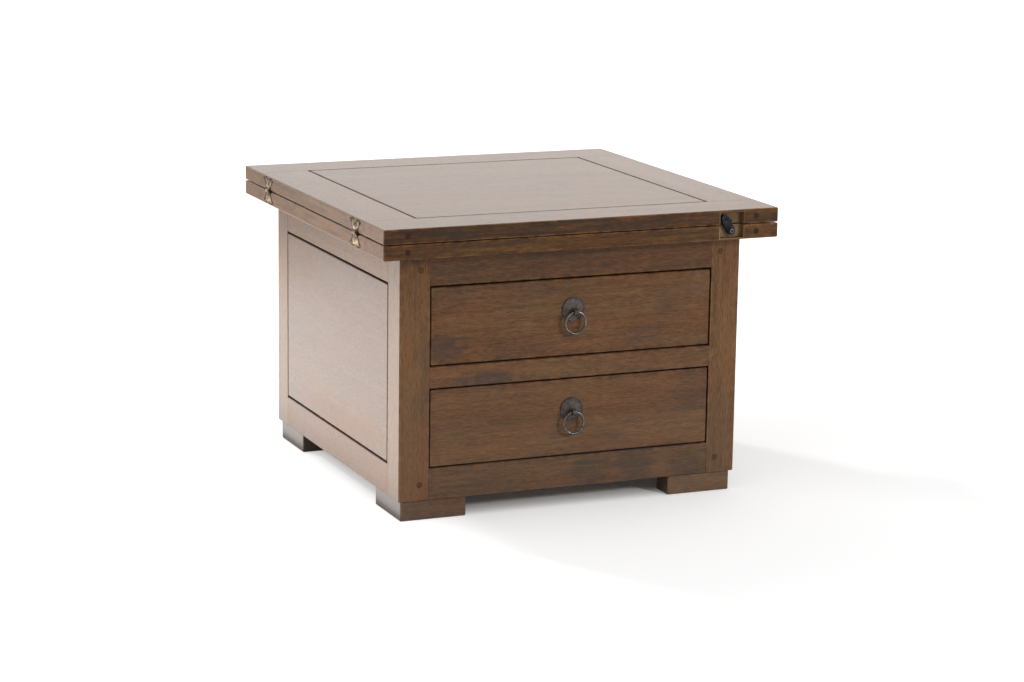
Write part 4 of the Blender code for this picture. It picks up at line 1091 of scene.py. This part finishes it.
def add_eye(work, x, y, z, back):
    """The lug of a rose: a rounded nose about the ring's bore, running straight back into the plate."""
    outlines = eye_outlines(back - y)
    sides = []
    for side in (-1, 1):
        lines = []
        for line in outlines:
            lines.append([work.verts.new((x + side * EYE_HALF_WIDTH, y + p.x, z + p.y)) for p in line])
        sides.append(lines)
    corners = []
    for step in range(EYE_STEPS):
        after = (step + 1) % EYE_STEPS
        for outer, bore in sides:
            work.faces.new((outer[step], outer[after], bore[after], bore[step]))
        for first, second in zip(*sides):
            work.faces.new((first[step], first[after], second[after], second[step]))
            for points in (first, second):
                corners.append(work.edges.get((points[step], points[after])))
    bmesh.ops.bevel(
        work, geom=corners, offset=EYE_ROUND, segments=EYE_ROUND_STEPS, profile=0.5, affect="EDGES"
    )


def add_ring(work, middle, radius):
    """A ring of wire that stands upright in X and Z."""
    grid = []
    for turn in turns(RING_STEPS):
        wave = math.sin(RING_WAVES * turn + RING_WAVE_START)
        wire = RING_WIRE * (1.0 + RING_UNEVEN * wave - RING_UNEVEN)
        line = []
        for angle in turns(WIRE_STEPS):
            out = radius + wire * math.cos(angle)
            place = Vector((out * math.cos(turn), wire * math.sin(angle), out * math.sin(turn)))
            line.append(work.verts.new(middle + place))
        grid.append(line)
    for step in range(RING_STEPS):
        first, second = grid[step], grid[(step + 1) % RING_STEPS]
        for side in range(WIRE_STEPS):
            after = (side + 1) % WIRE_STEPS
            work.faces.new((first[side], second[side], second[after], first[after]))


def add_pulls():
    for level in LEVELS:
        rose_low, rose_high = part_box(f"{level}_pull_rose")
        ring_low, ring_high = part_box(f"{level}_pull_ring")
        ring_middle = (ring_low + ring_high) / 2
        radius = (ring_high.x - ring_low.x) / 2 - RING_WIRE
        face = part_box(f"{level}_drawer_front")[0].y - ROSE_CLEAR
        middle = Vector(((rose_low.x + rose_high.x) / 2, face, (rose_low.z + rose_high.z) / 2))

        work = bmesh.new()
        out_of_front = Matrix.Translation(middle) @ Matrix.Rotation(math.pi / 2, 4, "X")
        lathe(work, rose_section(), ROSE_STEPS, out_of_front)
        add_eye(work, middle.x, ring_middle.y, ring_middle.z + radius, face - EYE_CLEAR)
        mesh = finish_mesh(f"{level}_rose", work)
        rose = add_piece(f"{level}_rose", mesh, IRON, body_of(f"{level}_pull_rose"))
        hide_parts(f"{level}_pull_rose")

        work = bmesh.new()
        add_ring(work, ring_middle, radius)
        mesh = finish_mesh(f"{level}_ring_wire", work, RING_SHARP_ANGLE)
        ring = add_piece(f"{level}_ring_wire", mesh, WIRE_IRON, body_of(f"{level}_pull_ring"))
        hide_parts(f"{level}_pull_ring")


def in_slot(face):
    """Whether a face of a screw's head lies where its slot is cut."""
    middle = face.calc_center_median()
    return middle.z > 0.0 and abs(middle.x) < SLOT_HALF


def add_screw(name, body, place, turn):
    """A slotted round-head screw on the left edge, its axis along X and its slot turned by an angle."""
    work = bmesh.new()
    lathe(work, SCREW_SECTION, SCREW_STEPS, Matrix.Identity(4))
    for side in (-1, 1):
        parts = work.verts[:] + work.edges[:] + work.faces[:]
        wall = (side * SLOT_HALF, 0.0, 0.0)
        bmesh.ops.bisect_plane(work, geom=parts, plane_co=wall, plane_no=(1.0, 0.0, 0.0))
    top = [face for face in work.faces if in_slot(face)]
    sunk = bmesh.ops.extrude_face_region(work, geom=top)["geom"]
    bmesh.ops.delete(work, geom=top, context="FACES")
    verts = [item for item in sunk if isinstance(item, bmesh.types.BMVert)]
    bmesh.ops.translate(work, verts=verts, vec=(0.0, 0.0, -SLOT_DEEP))
    out_of_left = Matrix.Rotation(-math.pi / 2, 4, "Y")
    matrix = Matrix.Translation(place) @ out_of_left @ Matrix.Rotation(turn, 4, "Z")
    bmesh.ops.transform(work, matrix=matrix, verts=work.verts)
    add_piece(name, finish_mesh(name, work, SCREW_SHARP_ANGLE), DARK_BRASS, body)


def add_hinges():
    for end in ENDS:
        low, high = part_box(f"{end}_hinge_pin")
        middle = (low + high) / 2
        material = brass(f"aged_brass_{end}", middle.y, middle.z)
        dress(f"{end}_hinge_pin", DARK_BRASS)
        for leaf, up in (("upper", 1), ("lower", -1)):
            node = f"{end}_hinge_{leaf}_wing"
            rounded(node, WING_ROUND, 2, material)
            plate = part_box(f"{leaf}_leaf_left_stile")[0].x
            for count, (along, away) in enumerate(WING_SCREWS):
                place = (plate, middle.y + along, middle.z + up * away)
                turn = SLOT_TURN_STEP * count + SLOT_TURN_LEVEL[leaf] + SLOT_TURN_END[end]
                add_screw(f"{end}_hinge_{leaf}_screw_{count}", body_of(node), place, turn)


def add_latch():
    low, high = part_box("latch_pivot_screw")
    rounded("latch_pivot_screw", PIVOT_ROUND, 2, screw_steel("screw_steel", (low + high) / 2))
    rounded("latch_lever", LEVER_ROUND, 3, BLACK_IRON)
    rounded("latch_keeper_stud", STUD_ROUND, 2, BLACK_IRON)


def dress_metal():
    for node in ("swivel_flange", "swivel_nut", "swivel_stop_pin"):
        dress(node, STEEL)
    add_pulls()
    add_hinges()
    add_latch()


def add_camera():
    forward = Vector(
        (
            -math.sin(VIEW_AZIMUTH) * math.cos(VIEW_ELEVATION),
            math.cos(VIEW_AZIMUTH) * math.cos(VIEW_ELEVATION),
            -math.sin(VIEW_ELEVATION),
        )
    )
    level = Vector((math.cos(VIEW_AZIMUTH), math.sin(VIEW_AZIMUTH), 0.0))
    upright = level.cross(forward)
    right = level * math.cos(VIEW_ROLL) + upright * math.sin(VIEW_ROLL)
    up = upright * math.cos(VIEW_ROLL) - level * math.sin(VIEW_ROLL)
    lens = bpy.data.cameras.new("camera")
    lens.sensor_width = SENSOR_WIDTH
    lens.lens = FOCAL_PIXELS * SENSOR_WIDTH / IMAGE_WIDTH
    camera = add_object("camera", lens)
    turned = Matrix((right, up, -forward)).transposed().to_4x4()
    camera.matrix_world = Matrix.Translation(CAMERA_PLACE) @ turned
    bpy.context.scene.camera = camera


def add_world():
    """A white background, and a sky for the light that is brighter straight above than at the horizon."""
    world = bpy.data.worlds.new("studio")
    world.use_nodes = True
    bpy.context.scene.world = world
    graph = Graph(world.node_tree)
    background = graph.tree.nodes["Background"]
    way = graph.split(graph.node("ShaderNodeTexCoord").outputs["Generated"])
    sky = graph.node("ShaderNodeMapRange", {"Value": way[Z], "To Min": SKY_LOW, "To Max": SKY_HIGH})
    strength = graph.node("ShaderNodeMix", {"Factor": graph.seen_ray(), "A": sky.outputs[0], "B": 1.0})
    graph.feed(background.inputs["Color"], WHITE)
    graph.feed(background.inputs["Strength"], strength.outputs["Result"])


def floor_glow(graph):
    """The floor's painted glow to the camera: less in the low sun's shadow, a painted shadow over the real
    one, and least under the carcass as painted contact shadow.
    """
    point = graph.split(graph.object_point())
    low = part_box("front_left_foot")[0]
    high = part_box("back_right_foot")[1]
    away = graph.outside_distance(point[:2], low, high)
    lit = graph.band(graph.minus(low.x + LIT_INSIDE, point[X]), (0.0, LIT_INSIDE))
    # The low sun's shadow, deepened by less glow, lies beyond the line through the front left foot along
    # the sun's direction
    run = Vector(LOW_SUN_FROM[:2]).normalized()
    beside = graph.share(point[X], run.y, graph.times(point[Y], -run.x))
    beside = graph.minus(beside, low.x * run.y - low.y * run.x)
    shade = graph.times(graph.band(beside, SHADE_SIDE_FADE), graph.fade(point[Y], SHADE_BACK_FADE))
    shade = graph.times(shade, graph.fade(away, SHADE_FAR_FADE))
    open_floor = graph.most(graph.minus(1.0, shade), lit)
    level = graph.share(graph.fade(away, NEAR_FADE), NEAR_GLOW, SHADE_GLOW)
    level = graph.share(open_floor, graph.minus(OPEN_GLOW, level), level)
    # Painted contact shadow: no glow under the carcass but for the strip at the left
    clear = graph.most(graph.band(away, CONTACT_FADE, (CONTACT_LEFT_OVER, 1.0)), lit)
    return graph.times(graph.times(graph.seen_ray(), clear), level)


def add_floor():
    """A pale floor with a painted glow that shows it white where no shadow falls, and a painted contact
    shadow under the carcass.
    """
    work = bmesh.new()
    bmesh.ops.create_grid(work, x_segments=1, y_segments=1, size=FLOOR_SIZE / 2)
    mesh = to_mesh("floor", work)
    floor = add_object("floor", mesh)
    skin = Surface("pale_floor")
    skin.tree.nodes.remove(skin.shader)
    matt = skin.node("ShaderNodeBsdfDiffuse", {"Color": FLOOR_COLOUR})
    glow = skin.node("ShaderNodeEmission", {"Color": WHITE, "Strength": floor_glow(skin)})
    both = skin.node("ShaderNodeAddShader", {0: matt.outputs[0], 1: glow.outputs[0]})
    skin.feed(skin.tree.nodes["Material Output"].inputs["Surface"], both.outputs[0])
    mesh.materials.append(skin.material)


def add_lamp(name, kind, place, target, **settings):
    data = bpy.data.lights.new(name, kind)
    for key, value in settings.items():
        setattr(data, key, value)
    lamp = add_object(name, data)
    lamp.location = place
    lamp.rotation_euler = (Vector(target) - Vector(place)).to_track_quat("-Z", "Y").to_euler()
    lamp.visible_camera = False
    return lamp


def add_lights():
    """Two suns, and lamps that either light matt surfaces or are seen in glossy ones."""
    for name, (place, strength, angle) in SUNS.items():
        add_lamp(name, "SUN", place, ORIGIN, energy=strength, angle=angle)
    for name, (serves, place, target, (width, height), watts, colour) in LAMPS.items():
        lamp = add_lamp(name, "AREA", place, target, shape="RECTANGLE", energy=watts, color=colour)
        lamp.data.size = width
        lamp.data.size_y = height
        lamp.visible_diffuse = serves == "matt"
        lamp.visible_glossy = serves == "sheen"


dress_wood()
dress_metal()
add_plugs()
add_camera()
add_world()
add_floor()
add_lights()
bpy.context.scene.view_settings.view_transform = "Standard"
